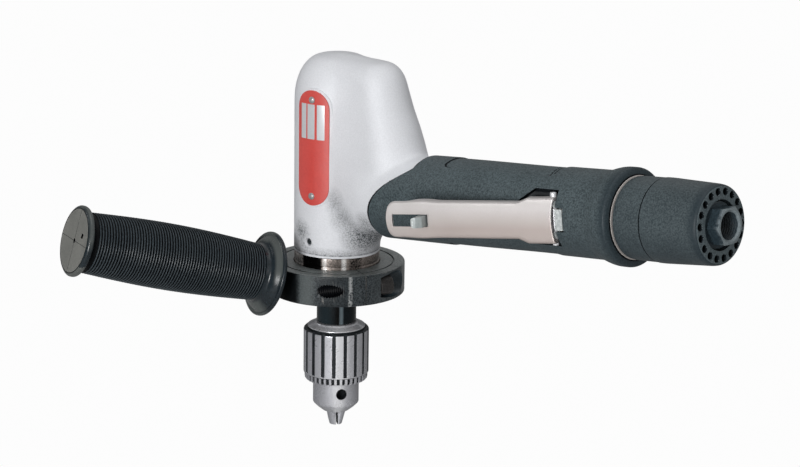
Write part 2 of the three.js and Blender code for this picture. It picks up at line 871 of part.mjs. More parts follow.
// Clamp collar: a ring split on one side and drawn together by a screw along a chord.
const collarBore = caseRadius + seatGap;
const collarBottom = collarTop - collarThickness;
const collarMiddle = (collarTop + collarBottom) / 2;
const collarWall = collarRadius - collarBore;
const clampChord = collarBore + collarWall * clampChordShare;
const clampShankRadius = collarWall * clampShankShare;
const clampHeadRadius = collarWall * clampHeadShare;
const clampSocketRadius = collarWall * clampSocketShare;
const clampPocketRadius = clampHeadRadius + clampPocketRoom;

// A bar along the chord, from and to distances along it, in the collar's own frame.
function chordBar(radius, from, to, sides = smallSides) {
  const bar = rod(radius, from, to, sides).rotateX(-Math.PI / 2);
  return turnedTo(bar.translate(clampChord, 0, collarMiddle), collarSplitAngle);
}

function clampCollar() {
  const body = ring(collarBore, collarRadius, collarBottom, collarTop);
  const grooveInner = collarRadius - collarGrooveInset;
  const groove = ring(grooveInner, grooveInner + collarGrooveWidth, collarTop - collarGrooveDepth,
    collarTop + overrun);
  const split = turnedTo(block([0, collarRadius + overrun], [-collarSplitWidth / 2, collarSplitWidth / 2],
    [collarBottom - overrun, collarTop + overrun]), collarSplitAngle);
  const pocket = chordBar(clampPocketRadius, clampSeat, collarRadius);
  const hole = chordBar(clampShankRadius + seatGap, -collarRadius, collarRadius);
  const studBore = rod(sideStudRadius + seatGap, sideStudStart - seatGap, collarRadius + overrun, smallSides);
  const studHole = sidePlaced(alongX(studBore));
  return cut(body, groove, split, pocket, hole, studHole);
}

function clampScrew() {
  const reach = Math.sqrt(collarRadius * collarRadius - clampChord * clampChord);
  const top = clampSeat + seatGap + clampHeadLength;
  const head = chordBar(clampHeadRadius, clampSeat + seatGap, top, midSides);
  const socket = chordBar(clampSocketRadius, top - clampSocketDepth, top + overrun, hexSides);
  const shank = chordBar(clampShankRadius, clampShankRadius - reach, clampSeat + clampHeadLength / 2);
  return cut(join(head, shank), socket);
}

// Stations along the side handle's own axis, which leans up and out of the collar.
const sideStudStart = collarBore + sideStudSeat;
const sideNose = collarRadius + sideNoseReach;
const sideStudEnd = sideNose + sideStudReach;
const sideFlange = sideNose + sideFlangeBack;
const sideGripStart = sideFlange + sideGripBack;
const sideRimStart = sideGripStart + sideGripLength;
const sideEnd = sideRimStart + sideRimLength;

function sidePlaced(geometry) {
  return turnedTo(geometry.rotateY(-sideTilt * degree).translate(0, 0, sideCross), sideAngle);
}

function sideHandleStud() {
  return rod(sideStudRadius, sideStudStart, sideStudEnd, smallSides);
}

// The ribbed length of the grip, as crests with a groove between each two, over a slight swell.
function sideRibs() {
  const rows = sideRibCount * 2;
  return Array.from({ length: rows + 1 }, (_, i) => {
    const share = i / rows;
    const crest = sideGripRadius + sideGripSwell * Math.sin(share * Math.PI);
    const depth = i % 2 === 0 ? 0 : sideRibDepth;
    return [crest - depth, THREE.MathUtils.lerp(sideGripStart, sideRimStart, share)];
  });
}

function sideHandleGrip() {
  const flangeBack = sideFlange + sideFlangeThickness;
  const neckFace = sideNose + (sideFlange - sideNose) / 2;
  const body = turned([
    [0, sideNose],
    [sideNoseRadius, sideNose],
    [sideNoseRadius + (sideFlangeRadius - sideNoseRadius) / 2, neckFace],
    [sideFlangeRadius, sideFlange],
    [sideFlangeRadius, flangeBack],
    [(sideFlangeRadius + sideGripRadius) / 2, (flangeBack + sideGripStart) / 2],
    ...sideRibs(),
    [(sideGripRadius + sideRimRadius) / 2, (sideRimStart * 2 + sideEnd) / 3],
    [sideRimRadius, (sideRimStart + sideEnd * 2) / 3],
    [sideFaceRadius, sideEnd],
    [0, sideEnd],
  ], midSides);
  const bore = rod(sideStudRadius + seatGap, sideNose - overrun, sideStudEnd + seatGap, smallSides);
  const dimple = rod(sideDimpleRadius, sideEnd - sideDimpleDepth, sideEnd + overrun, smallSides);
  return cut(body, bore, dimple);
}

// Keyed chuck
const sleeveBottom = sleeveTop - sleeveLength;
const sleeveBore = sleeveRadius - sleeveWall;
const coneBottom = chuckBack - chuckConeRise;
const shoulderBottom = coneBottom - chuckShoulderThickness;
const studSeat = noseBottom - spindleStudLength - seatGap;
const keyAngles = Array.from({ length: jawCount }, (_, i) => keyHoleAngle + (i * 360) / jawCount);
const jawAngles = keyAngles.map((angle) => angle + 180 / jawCount);

// Something built about a jaw's own axis, leaned and set at its place round the chuck.
function jawPlaced(geometry, angle) {
  const leaned = geometry.rotateY(jawTilt * degree).translate(jawTipCentre, 0, jawTip);
  return turnedTo(leaned, angle);
}

function chuckBody() {
  const body = turned([
    [0, chuckNoseEnd],
    [chuckNoseEndRadius, chuckNoseEnd],
    [(chuckNoseEndRadius * 2 + chuckNoseRadius) / 3, (chuckNoseEnd * 4 + chuckNoseShoulder) / 5],
    [(chuckNoseEndRadius + chuckNoseRadius * 3) / 4, (chuckNoseEnd * 2 + chuckNoseShoulder * 3) / 5],
    [chuckNoseRadius, chuckNoseShoulder],
    [chuckNoseRadius, chuckNoseTop],
    [chuckCoreRadius, chuckNoseTop],
    [chuckCoreRadius, shoulderBottom],
    [chuckConeRadius, shoulderBottom],
    [chuckConeRadius, coneBottom],
    [noseRadius, chuckBack],
    [0, chuckBack],
  ]);
  const studHole = rod(spindleStudRadius + seatGap, studSeat, chuckBack + overrun, midSides);
  const throatTop = studSeat - chuckWeb;
  const screwHole = rod(chuckScrewRadius + seatGap, throatTop - overrun, studSeat + overrun, smallSides);
  const throat = rod(chuckScrewHead + seatGap, chuckNoseEnd - overrun, throatTop, smallSides);
  const jawBores = jawAngles.map((angle) => jawPlaced(
    rod(jawRadius + seatGap, 0, jawLength + jawTravel + seatGap, smallSides), angle));
  const keyFloor = chuckNoseRadius - keyHoleDepth;
  const keyHoles = keyAngles.map((angle) => spotted(
    rod(keyHoleRadius, keyFloor, chuckNoseRadius + overrun, smallSides), angle, keyHoleHeight));
  return cut(body, studHole, screwHole, throat, ...jawBores, ...keyHoles);
}

function chuckScrew() {
  const headTopAt = studSeat - chuckWeb - seatGap;
  return turned([
    [0, headTopAt - chuckScrewHeadHeight],
    [chuckScrewHead, headTopAt - chuckScrewHeadHeight],
    [chuckScrewHead, headTopAt],
    [chuckScrewRadius, headTopAt],
    [chuckScrewRadius, noseBottom - spindleStudLength / 2],
    [0, noseBottom - spindleStudLength / 2],
  ], smallSides);
}

function chuckSleeve() {
  const crownBottom = sleeveBottom - crownHeight;
  const lip = chuckCoreRadius + seatGap;
  const body = turned([
    [lip, crownBottom],
    [sleeveRadius - crownDrop, crownBottom],
    [sleeveRadius, sleeveBottom - crownHeight / 4],
    [sleeveRadius, sleeveTop - sleeveRim],
    [sleeveRadius - sleeveRim, sleeveTop],
    [chuckConeRadius + seatGap, sleeveTop],
    [chuckConeRadius + seatGap, shoulderBottom - seatGap],
    [sleeveBore, shoulderBottom - 2 * seatGap],
    [sleeveBore, sleeveBottom + crownHeight / 2],
    [lip, sleeveBottom + crownHeight / 4],
  ], fluteCount * 2).rotateZ(fluteTurn * degree);
  const floor = sleeveRadius - fluteDepth;
  const flutes = [];
  for (let i = 0; i < fluteCount; i += 1) {
    const flute = block([floor, sleeveRadius + overrun], [-fluteWidth / 2, fluteWidth / 2],
      [sleeveBottom, sleeveTop - 2 * sleeveRim]);
    flutes.push(turnedTo(flute, fluteTurn + (i * 360) / fluteCount));
  }
  const gullets = [];
  const gulletHalf = (Math.PI * (sleeveRadius - crownDrop)) / crownTeeth / 2;
  for (let i = 0; i < crownTeeth; i += 1) {
    const gullet = block([lip + fluteDepth, sleeveRadius + overrun], [-gulletHalf, gulletHalf],
      [crownBottom - overrun, crownBottom + crownHeight / 2]);
    gullets.push(turnedTo(gullet, ((i + 1 / 2) * 360) / crownTeeth));
  }
  return cut(body, ...flutes, ...gullets);
}

function chuckNut() {
  const from = sleeveTop - nutDrop - nutHeight;
  return ring(chuckCoreRadius + seatGap, sleeveBore - seatGap, from, from + nutHeight, midSides);
}

// A jaw: a leaning round bar with two flats that meet its neighbours' and a tapered tip.
function chuckJaw(angle) {
  const bar = jawPlaced(rod(jawRadius, -overrun, jawLength, midSides), angle);
  const reach = chuckCoreRadius * 2;
  const spread = reach * Math.tan((180 / jawCount) * degree);
  const apex = jawSlit / Math.sin((180 / jawCount) * degree);
  const sector = turnedTo(extruded([[apex, 0], [apex + reach, -spread], [apex + reach, spread]],
    jawTip, jawTip + jawLength), angle);
  const taperTop = chuckNoseEnd + jawRadius;
  const taper = turned([
    [0, jawTip],
    [jawTipRadius, jawTip],
    [chuckNoseEndRadius - seatGap, taperTop],
    [chuckCoreRadius, taperTop + chuckCoreRadius],
    [chuckCoreRadius, jawTip + jawLength + overrun],
    [0, jawTip + jawLength + overrun],
  ], midSides);
  return common(common(bar, sector), taper);
}

// Rear handle core: carries the throttle valve, the lever bracket, the grip and the muffler.
const coreStart = stubEnd + seatGap;
const valveAt = hingeAt - valveArm;

function pocketOutline(margin) {
  return [
    [pocketFront - margin, -pocketFrontHalf],
    [pocketFull - margin, -pocketHalf - margin],
    [pocketRear + margin, -pocketHalf - margin],
    [pocketRear + margin, -pocketTailHalf - margin],
    [pocketTail + margin, -pocketTailHalf - margin],
    [pocketTail + margin, pocketTailHalf + margin],
    [pocketRear + margin, pocketTailHalf + margin],
    [pocketRear + margin, pocketHalf + margin],
    [pocketFull - margin, pocketHalf + margin],
    [pocketFront - margin, pocketFrontHalf],
  ];
}

// The pocket's outline pressed in from -Y down to a depth from the handle's axis.
function pocketTool(depth, margin) {
  return extruded(pocketOutline(margin), depth, gripRadius + overrun).rotateX(Math.PI / 2);
}

function handleCore() {
  const body = alongX(turned([
    [0, coreStart],
    [stubRadius, coreStart],
    [stubRadius, coreShoulder],
    [coreSpigotRadius, coreShoulder],
    [coreSpigotRadius, coreSpigotEnd],
    [coreTubeRadius, coreSpigotEnd],
    [coreTubeRadius, coreTubeEnd],
    [0, coreTubeEnd],
  ]));
  const chamber = alongMinusY(rod(valveChamber, -valveChamberEnd, gripRadius + overrun));
  chamber.translate(valveAt, 0, 0);
  const inletDuct = handleDuct(inletDuctRadius, valveAt, coreTubeEnd, 0, 0);
  const socketEnd = coreTubeEnd + overrun;
  const inletSocket = alongX(rod(inletBodyRadius + seatGap, inletBodyStart - seatGap, socketEnd, midSides));
  const feed = handleDuct(feedDuctRadius, coreStart - overrun, valveAt, -feedDuctOffset, 0);
  return cut(body, chamber, inletDuct, inletSocket, feed, pocketTool(bracketFloor, seatGap),
    ...ducts(coreStart - overrun, coreSpigotEnd + overrun));
}

function gripSleeve() {
  const front = (angle) => saddleAt(angle);
  const frontIn = (angle) => saddleAt(angle) + gripEdge;
  const settled = saddleTop + gripRadius;
  const between = (share) => (angle) => THREE.MathUtils.lerp(frontIn(angle), settled, share);
  const beadMid = (flareStart + beadStart) / 2;
  const sleeve = lofted([
    handleRing(gripRadius - gripEdge, front),
    handleRing(gripRadius, frontIn),
    handleRing(gripRadius, between(1 / 3)),
    handleRing(gripRadius, between(2 / 3)),
    handleRing(gripRadius, () => settled),
    handleRing(gripWaist, () => waistAt),
    handleRing(gripWaist, () => flareStart),
    handleRing(gripWaist + (gripBead - gripWaist) / 3, () => beadMid),
    handleRing(gripBead, () => beadStart),
    handleRing(gripBead, () => beadEnd),
    handleRing((gripBead + gripEndRadius * 2) / 3, () => (beadEnd + gripEnd * 2) / 3),
    handleRing(gripEndRadius, () => gripEnd),
    handleRing(gripBore, () => gripEnd),
    handleRing(gripBore, front),
  ], true);
  return cut(sleeve, pocketTool(bracketFloor, 0));
}

function leverBracket() {
  const base = -bracketFloor - seatGap;
  const baseTop = base - bracketBase;
  const earEnd = pocketRear - seatGap;
  const plate = block([bracketFront, earEnd], [baseTop, base], [-bracketEarHalf, bracketEarHalf]);
  const tailHalf = pocketTailHalf - seatGap;
  const tail = block([earEnd - bracketEar, pocketTail - seatGap], [baseTop, base], [-tailHalf, tailHalf]);
  const rise = block([earEnd, pocketTail - seatGap], [-bracketTailTop, base], [-tailHalf, tailHalf]);
  const ears = [-1, 1].map((side) => {
    const across = [side * (bracketEarHalf - bracketEar), side * bracketEarHalf].sort((a, b) => a - b);
    return block([hingeAt - 2 * bracketEar, earEnd], [-bracketEarTop, base], across);
  });
  const pinHole = rod(hingePinRadius + seatGap, -pocketHalf, pocketHalf, smallSides);
  pinHole.translate(hingeAt, -hingeDepth, 0);
  return cut(join(plate, tail, rise, ...ears), pinHole);
}

// Throttle lever, in its own frame: X runs to its front end, Y points out of the handle.
const leverInner = leverFace - leverSheet;

function leverWeb() {
  const corner = leverFrontCorner;
  const flareEnd = leverFlareAt + leverFlareRun;
  const outline = [[leverRear, -leverFlareHalf], [leverFlareAt, -leverFlareHalf], [flareEnd, -leverHalf]];
  for (let i = 0; i <= smallSides; i += 1) {
    const angle = -Math.PI / 2 + (i / smallSides) * Math.PI;
    outline.push([leverFront - corner + corner * Math.cos(angle), leverHalf * Math.sin(angle)]);
  }
  outline.push([flareEnd, leverHalf], [leverFlareAt, leverFlareHalf], [leverRear, leverFlareHalf]);
  outline.push([leverRear + leverRearDip, 0]);
  return extruded(outline, -leverFace, -leverInner).rotateX(Math.PI / 2);
}

// A side wall of the lever: its outline in X and Y, standing between two heights.
function leverWalls(outline, inner, outer) {
  return [extruded(outline, inner, outer), extruded(outline, -outer, -inner)];
}

function throttleLever() {
  const top = leverFace - leverSheet / 2;
  const earEdge = lockPinRise - lockEar / 2;
  const flareWall = [
    [leverRear, top], [leverRear, 0], [0, -leverEar + leverSheet], [leverEar, 0], [leverFlareAt, 0],
    [leverFlareAt + leverSheet, 0], [leverFlareAt + leverSheet, top],
  ];
  const sideWall = [
    [leverFlareAt, top], [leverFlareAt, 0], [lockPinAt - lockEar, 0], [lockPinAt - lockEar / 2, earEdge],
    [lockPinAt + lockEar / 2, earEdge], [lockPinAt + lockEar, lockPinRise + lockEar / 2],
    [leverWallEnd, leverInner], [leverWallEnd, top],
  ];
  const shoulder = leverWalls([
    [leverFlareAt, top], [leverFlareAt, 0], [leverFlareAt + leverSheet, 0], [leverFlareAt + leverSheet, top],
  ], leverHalf - leverSheet, leverFlareHalf);
  const walls = [
    ...leverWalls(flareWall, leverFlareHalf - leverSheet, leverFlareHalf),
    ...leverWalls(sideWall, leverHalf - leverSheet, leverHalf),
    ...shoulder,
  ];
  const slotSides = [slotShift - slotHalf, slotShift + slotHalf];
  const slot = block([slotStart, slotEnd], [0, leverFace + overrun], slotSides);
  const hingeHole = rod(hingePinRadius + seatGap, -pocketHalf, pocketHalf, smallSides);
  const lockHole = rod(lockPinRadius + seatGap, -pocketHalf, pocketHalf, smallSides);
  lockHole.translate(lockPinAt, lockPinRise, 0);
  return cut(join(leverWeb(), ...walls), slot, hingeHole, lockHole);
}

function leverPin() {
  return rod(hingePinRadius, -hingePinHalf, hingePinHalf, smallSides);
}

function lockPin() {
  return rod(lockPinRadius, -leverHalf, leverHalf, smallSides).translate(lockPinAt, lockPinRise, 0);
}

function lockTab() {
  const hub = rod(lockHub, -lockHalfWidth, lockHalfWidth, smallSides);
  const nub = extruded([
    [lockNubRear, 0], [-lockNubRear, 0], [-lockNubRear, leverInner], [lockNubFront, lockNub - leverSheet],
    [lockNubFront - leverSheet, lockNub], [lockNubRear, lockNub],
  ], -lockHalfWidth, lockHalfWidth);
  const leg = block([-lockLegHalf, lockLegHalf], [-lockLeg, 0], [-lockHalfWidth, lockHalfWidth]);
  const hole = rod(lockPinRadius + seatGap, -leverHalf, leverHalf, smallSides);
  return cut(join(hub, nub, leg), hole).translate(lockPinAt, lockPinRise, slotShift);
}

// Throttle valve, along -Y at the valve's place on the handle. Its domed tip stays a gap under the lever.
const tipClearance = leverInner - valveStemRadius - seatGap;
const openAngle = leverOpenAngle * degree;
const tipDepth = hingeDepth + (tipClearance + valveArm * Math.sin(openAngle)) / Math.cos(openAngle);
const seatInner = valveSeatFace - valveSeatThickness;

function throttleValve() {
  const headOuter = seatInner - seatGap;
  const profile = [
    [0, headOuter - valveHeadThickness],
    [valveHeadRadius, headOuter - valveHeadThickness],
    [valveHeadRadius, headOuter],
    [valveStemRadius, headOuter],
  ];
  for (let i = 0; i <= hexSides; i += 1) {
    const angle = (i / hexSides) * (Math.PI / 2);
    profile.push([valveStemRadius * Math.cos(angle), tipDepth + valveStemRadius * Math.sin(angle)]);
  }
  return alongMinusY(turned(profile, smallSides)).translate(valveAt, 0, 0);
}

function valveRing(inner, from, to) {
  return alongMinusY(ring(inner, valveChamber - seatGap, from, to, hiddenSides)).translate(valveAt, 0, 0);
}

function valveBushing() {
  return valveRing(valveStemRadius + seatGap, bracketFloor - valveBushLength, bracketFloor);
}

function valveSeat() {
  return valveRing(valveSeatHole, seatInner, valveSeatFace);
}

function valveSpring() {
  const from = seatInner - 2 * seatGap - valveHeadThickness - springWire;
  const length = valveChamberEnd - seatGap - springWire + from;
  const points = [];
  const steps = springTurns * holeSides;
  for (let i = 0; i <= steps; i += 1) {
    const angle = (i / holeSides) * 2 * Math.PI;
    const height = from - (i / steps) * length;
    points.push(new THREE.Vector3(springRadius * Math.cos(angle), springRadius * Math.sin(angle), height));
  }
  const section = new THREE.Shape();
  section.absarc(0, 0, springWire, 0, 2 * Math.PI);
  const wire = new THREE.ExtrudeGeometry(section, {
    steps, curveSegments: 3, bevelEnabled: false, extrudePath: new THREE.CatmullRomCurve3(points),
  });
  return alongMinusY(wire).translate(valveAt, 0, 0);
}

// Muffler and air inlet
function retainingRing() {
  const from = gripEnd + seatGap / 2;
  return alongX(ring(coreSpigotRadius + seatGap, ringRadius, from, from + ringFace));
}

function mufflerAdapter() {
  return alongX(turned([
    [coreSpigotRadius + seatGap, adapterStart],
    [adapterRadius, adapterStart],
    [adapterRadius, adapterEnd],
    [adapterNoseRadius, adapterEnd],
    [adapterNoseRadius, adapterNoseEnd],
    [coreSpigotRadius + seatGap, adapterNoseEnd],
  ]));
}

const capInner = adapterNoseRadius - capWall / 2;
const capFloor = capEnd - capWall;

function mufflerCap() {
  const capStart = adapterEnd + seatGap;
  const body = alongX(turned([
    [hubRadius + seatGap, capEnd],
    [capEndRadius - capRound, capEnd],
    [capEndRadius - capRound / 4, capEnd - capRound / 4],
    [capEndRadius, capEnd - capRound],
    [capRadius, capStart + capRound],
    [capRadius, capStart],
    [adapterNoseRadius + seatGap, capStart],
    [adapterNoseRadius + seatGap, adapterNoseEnd + seatGap],
    [capInner, adapterNoseEnd + seatGap],
    [capInner, capFloor],
    [hubRadius + seatGap, capFloor],
  ]));
  const holes = [];
  for (let i = 0; i < capHoleCount; i += 1) {
    const hole = alongX(rod(capHoleRadius, capFloor - overrun, capEnd + overrun, holeSides));
    holes.push(hole.translate(0, 0, capHoleRing).rotateX(((i + 1 / 2) / capHoleCount) * 2 * Math.PI));
  }
  return cut(body, ...holes);
}

function mufflerFelt() {
  const from = adapterNoseEnd + 2 * seatGap;
  const to = inletFlangeStart - seatGap;
  return alongX(ring(coreTubeRadius + seatGap, capInner - seatGap, from, to, hiddenSides));
}

function inletBushing() {
  const hexCorner = inletHexFlats / Math.sqrt(3);
  const body = turned([
    [0, inletBodyStart],
    [inletBodyRadius, inletBodyStart],
    [inletBodyRadius, coreTubeEnd + seatGap],
    [coreTubeRadius, coreTubeEnd + seatGap],
    [coreTubeRadius, inletFlangeStart],
    [hubRadius, inletFlangeStart],
    [hubRadius, capEnd - seatGap],
    [0, capEnd - seatGap],
  ], midSides);
  const hex = rod(hexCorner, capEnd - overrun / 2, inletHexEnd, hexSides).rotateZ(Math.PI / hexSides);
  const bore = rod(inletBoreRadius, inletHexEnd - inletBoreDepth, inletHexEnd + overrun, midSides);
  const passage = rod(inletDuctRadius, inletBodyStart - overrun, inletHexEnd, smallSides);
  return alongX(cut(join(body, hex), bore, passage));
}

function inletScreen() {
  const from = inletHexEnd - inletBoreDepth + seatGap;
  return alongX(rod(inletBoreRadius - seatGap, from, from + screenThickness, midSides));
}

// The assembly
function part(name, geometry, finish) {
  const mesh = new THREE.Mesh(geometry.index ? geometry : toGeometry(toSolid(geometry)),
    new THREE.MeshStandardMaterial(finish));
  mesh.name = name;
  return mesh;
}

const head = new THREE.Group();
head.add(
  part('head_housing', headHousing(), cast),
  part('name_plate', namePlate(), red),
  part('plate_screw_upper', plateScrew(plateScrewOffset), steel),
  part('plate_screw_lower', plateScrew(-plateScrewOffset), steel),
  part('lock_set_screw', lockSetScrew(), black),
  part('gear_case', gearCase(), nickel),
  part('ring_gear', ringGear(), steel),
  part('spindle_bearing', spindleBearing(), steel),
  part('spindle_seal', spindleSeal(), black),
  part('output_spindle', outputSpindle(), black),
  part('lower_end_plate', endPlate(plateOuterRadius, lowerPlateBottom, false), steel),
  part('upper_end_plate', endPlate(linerOuter, upperPlateBottom, true), steel),
  part('lower_rotor_bearing', rotorBearing(lowerPlateBottom), steel),
  part('upper_rotor_bearing', rotorBearing(upperPlateTop - rotorBearingFace), steel),
  part('motor_cylinder', motorLiner(), steel),
  part('motor_rotor', motorRotor(), steel),
  part('wave_spring', waveSpring(), steel),
);
planetAngles.forEach((angle, i) => {
  head.add(part(`planet_gear_${i + 1}`, planetGear(angle), steel));
  head.add(part(`planet_pin_${i + 1}`, planetPin(angle), steel));
});
vaneAngles.forEach((angle, i) => head.add(part(`rotor_vane_${i + 1}`, vane(angle), fibre)));

const chuck = new THREE.Group();
chuck.add(
  part('chuck_body', chuckBody(), steel),
  part('chuck_sleeve', chuckSleeve(), steel),
  part('chuck_nut', chuckNut(), steel),
  part('chuck_screw', chuckScrew(), black),
);
jawAngles.forEach((angle, i) => chuck.add(part(`chuck_jaw_${i + 1}`, chuckJaw(angle), steel)));

const collar = new THREE.Group();
collar.add(part('clamp_collar', clampCollar(), black), part('clamp_screw', clampScrew(), black));
const sideHandle = new THREE.Group();
sideHandle.rotation.set(0, -sideTilt * degree, sideAngle * degree, 'ZYX');
sideHandle.position.set(0, 0, sideCross);
sideHandle.add(
  part('side_handle_stud', alongX(sideHandleStud()), steel),
  part('side_handle_grip', alongX(sideHandleGrip()), moulded),
);
collar.add(sideHandle);

const rear = new THREE.Group();
rear.rotation.y = -handleTilt * degree;
rear.add(
  part('handle_core', handleCore(), cast),
  part('grip_sleeve', gripSleeve(), composite),
  part('lever_bracket', leverBracket(), pale),
  part('lever_pin', leverPin().translate(hingeAt, -hingeDepth, 0), steel),
  part('throttle_valve', throttleValve(), steel),
  part('valve_bushing', valveBushing(), bronze),
  part('valve_seat', valveSeat(), bronze),
  part('valve_spring', valveSpring(), steel),
  part('retaining_ring', retainingRing(), steel),
  part('muffler_adapter', mufflerAdapter(), composite),
  part('muffler_cap', mufflerCap(), composite),
  part('muffler_felt', mufflerFelt(), fibre),
  part('inlet_bushing', inletBushing(), composite),
  part('inlet_screen', inletScreen(), bronze),
);
const lever = new THREE.Group();
lever.position.set(hingeAt, -hingeDepth, leverShift);
lever.rotation.z = Math.PI + leverOpenAngle * degree;
lever.add(
  part('throttle_lever', throttleLever(), nickel),
  part('lock_pin', lockPin(), steel),
  part('lock_tab', lockTab(), pale),
);
rear.add(lever);

const drill = new THREE.Group();
drill.add(head, chuck, collar, rear);

export default drill;
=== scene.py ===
"""Looks of an air-powered right-angle drill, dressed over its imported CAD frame.

Lengths inside the classes are in millimetres, and become metres when a mesh is made.
"""

import json
import logging
import math
from collections.abc import Callable, Sequence
from dataclasses import dataclass, field
from enum import Enum

import bmesh
import bpy
import numpy as np
from mathutils import Matrix, Vector

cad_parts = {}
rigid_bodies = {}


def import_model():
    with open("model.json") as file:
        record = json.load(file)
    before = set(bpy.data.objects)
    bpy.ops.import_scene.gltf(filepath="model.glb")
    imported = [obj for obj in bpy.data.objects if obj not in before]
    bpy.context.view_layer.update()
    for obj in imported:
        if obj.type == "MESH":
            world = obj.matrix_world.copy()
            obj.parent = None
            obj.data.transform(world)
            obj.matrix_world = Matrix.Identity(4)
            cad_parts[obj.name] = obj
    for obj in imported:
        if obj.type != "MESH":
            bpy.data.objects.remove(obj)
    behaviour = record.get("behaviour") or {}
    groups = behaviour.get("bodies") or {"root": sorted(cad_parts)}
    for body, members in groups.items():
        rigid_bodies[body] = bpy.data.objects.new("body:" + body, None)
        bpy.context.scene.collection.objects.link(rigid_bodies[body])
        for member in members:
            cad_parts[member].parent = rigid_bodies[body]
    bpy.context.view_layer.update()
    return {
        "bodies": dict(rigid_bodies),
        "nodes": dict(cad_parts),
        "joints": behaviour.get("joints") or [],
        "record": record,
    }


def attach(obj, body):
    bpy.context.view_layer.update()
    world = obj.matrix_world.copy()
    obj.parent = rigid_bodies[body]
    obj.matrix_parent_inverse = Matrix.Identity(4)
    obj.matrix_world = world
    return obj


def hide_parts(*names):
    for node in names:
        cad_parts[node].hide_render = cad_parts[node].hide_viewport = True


log = logging.getLogger("drill")

MILLIMETRE = 0.001
FULL_TURN = 2 * math.pi
Colour = tuple[float, float, float]
Corner = tuple[float, float]
RoundedCorner = tuple[float, float, float]


class Body(Enum):
    """The moving bodies of the frame."""

    DRILL = "drill"
    SPINDLE = "spindle"
    SLEEVE = "sleeve"
    JAW_1 = "jaw_1"
    JAW_2 = "jaw_2"
    JAW_3 = "jaw_3"
    COLLAR = "collar"
    LEVER = "lever"
    TAB = "tab"


class Slot(Enum):
    """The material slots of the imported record."""

    CAST = "cast_aluminium"
    LABEL = "label_red"
    STEEL = "bright_steel"
    NICKEL = "nickel_steel"
    BLACK = "black_steel"
    LEVER = "lever_steel"
    RUBBER = "seal_rubber"
    GLOSS = "gloss_black"
    GRIP = "grip_composite"
    MUFFLER = "muffler_paint"
    PALE = "pale_plastic"
    VANE = "vane_fibre"
    BRASS = "valve_brass"
    FELT = "felt"


class Shaping(Enum):
    """What a tool does to the piece that it meets."""

    AWAY = "DIFFERENCE"
    ON = "UNION"
    WITHIN = "INTERSECT"


def turn(axis: str, degrees: float) -> Matrix:
    """A turn about one of the axes X, Y or Z."""
    return Matrix.Rotation(math.radians(degrees), 4, axis)


def shift(x: float, y: float, z: float) -> Matrix:
    """A move by a distance."""
    return Matrix.Translation(Vector((x, y, z)))


def eased(share: float) -> float:
    """A share from 0 to 1 that starts and ends gently."""
    share = min(1.0, max(0.0, share))
    return share * share * (3 - 2 * share)


@dataclass
class Draft:
    """Corners in millimetres, the faces between them, and each face's finish number."""

    corners: list[Vector] = field(default_factory=list)
    faces: list[tuple[int, ...]] = field(default_factory=list)
    finish_of: list[int] = field(default_factory=list)

    def face(self, corners: Sequence[int], finish: int = 0) -> None:
        """Adds one face."""
        self.faces.append(tuple(corners))
        self.finish_of.append(finish)

    def add(self, other: "Draft", place: Matrix | None = None) -> "Draft":
        """Adds another draft to this one.

        Args:
            other: the draft to add.
            place: where it goes, or None for where it is.

        Returns:
            This draft.
        """
        first = len(self.corners)
        self.corners += [place @ c if place else c for c in other.corners]
        self.faces += [tuple(i + first for i in f) for f in other.faces]
        self.finish_of += other.finish_of
        return self


def softened(
    profile: Sequence[RoundedCorner], steps: int = 5, looped: bool = False
) -> list[Corner]:
    """Rounds the corners of a profile or an outline.

    Args:
        profile: corners, each with the length of its rounding.
        steps: how many pieces each rounding has.
        looped: whether the last corner meets the first.

    Returns:
        The line with its roundings.
    """
    line: list[Corner] = []
    for i, (x, y, rounding) in enumerate(profile):
        here = Vector((x, y))
        if rounding <= 0 or (not looped and i in (0, len(profile) - 1)):
            line.append((x, y))
            continue
        before = Vector(profile[i - 1][:2]) - here
        after = Vector(profile[(i + 1) % len(profile)][:2]) - here
        start = here + before.normalized() * min(rounding, 0.48 * before.length)
        end = here + after.normalized() * min(rounding, 0.48 * after.length)
        for k in range(steps + 1):
            t = k / steps
            point = start * (1 - t) ** 2 + here * 2 * t * (1 - t) + end * t * t
            line.append((point.x, point.y))
    return line


def lathe(
    line: Sequence[Corner],
    sides: int = 128,
    looped: bool = False,
    finish_at: Callable[[float, float], int] | None = None,
) -> Draft:
    """Turns a line of (radius, station) about Z.

    Args:
        line: the profile, whose zero radii become single corners.
        sides: how many columns the round has.
        looped: whether the profile closes on itself.
        finish_at: the finish number of a face, from its middle radius and station.

    Returns:
        The turned draft.
    """
    draft = Draft()
    rows: list[list[int]] = []
    for radius, station in line:
        first = len(draft.corners)
        if radius < 1e-6:
            draft.corners.append(Vector((0, 0, station)))
            rows.append([first])
            continue
        rows.append(list(range(first, first + sides)))
        for j in range(sides):
            angle = FULL_TURN * j / sides
            draft.corners.append(
                Vector((radius * math.cos(angle), radius * math.sin(angle), station))
            )
    bands = len(rows) if looped else len(rows) - 1
    for i in range(bands):
        low, high = rows[i], rows[(i + 1) % len(rows)]
        middle = (
            (line[i][0] + line[(i + 1) % len(line)][0]) / 2,
            (line[i][1] + line[(i + 1) % len(line)][1]) / 2
        )
        finish = finish_at(*middle) if finish_at else 0
        if len(low) == 1 and len(high) == 1:
            continue
        for j in range(sides):
            k = (j + 1) % sides
            if len(low) == 1:
                draft.face((low[0], high[k], high[j]), finish)
            elif len(high) == 1:
                draft.face((low[j], low[k], high[0]), finish)
            else:
                draft.face((low[j], low[k], high[k], high[j]), finish)
    return draft


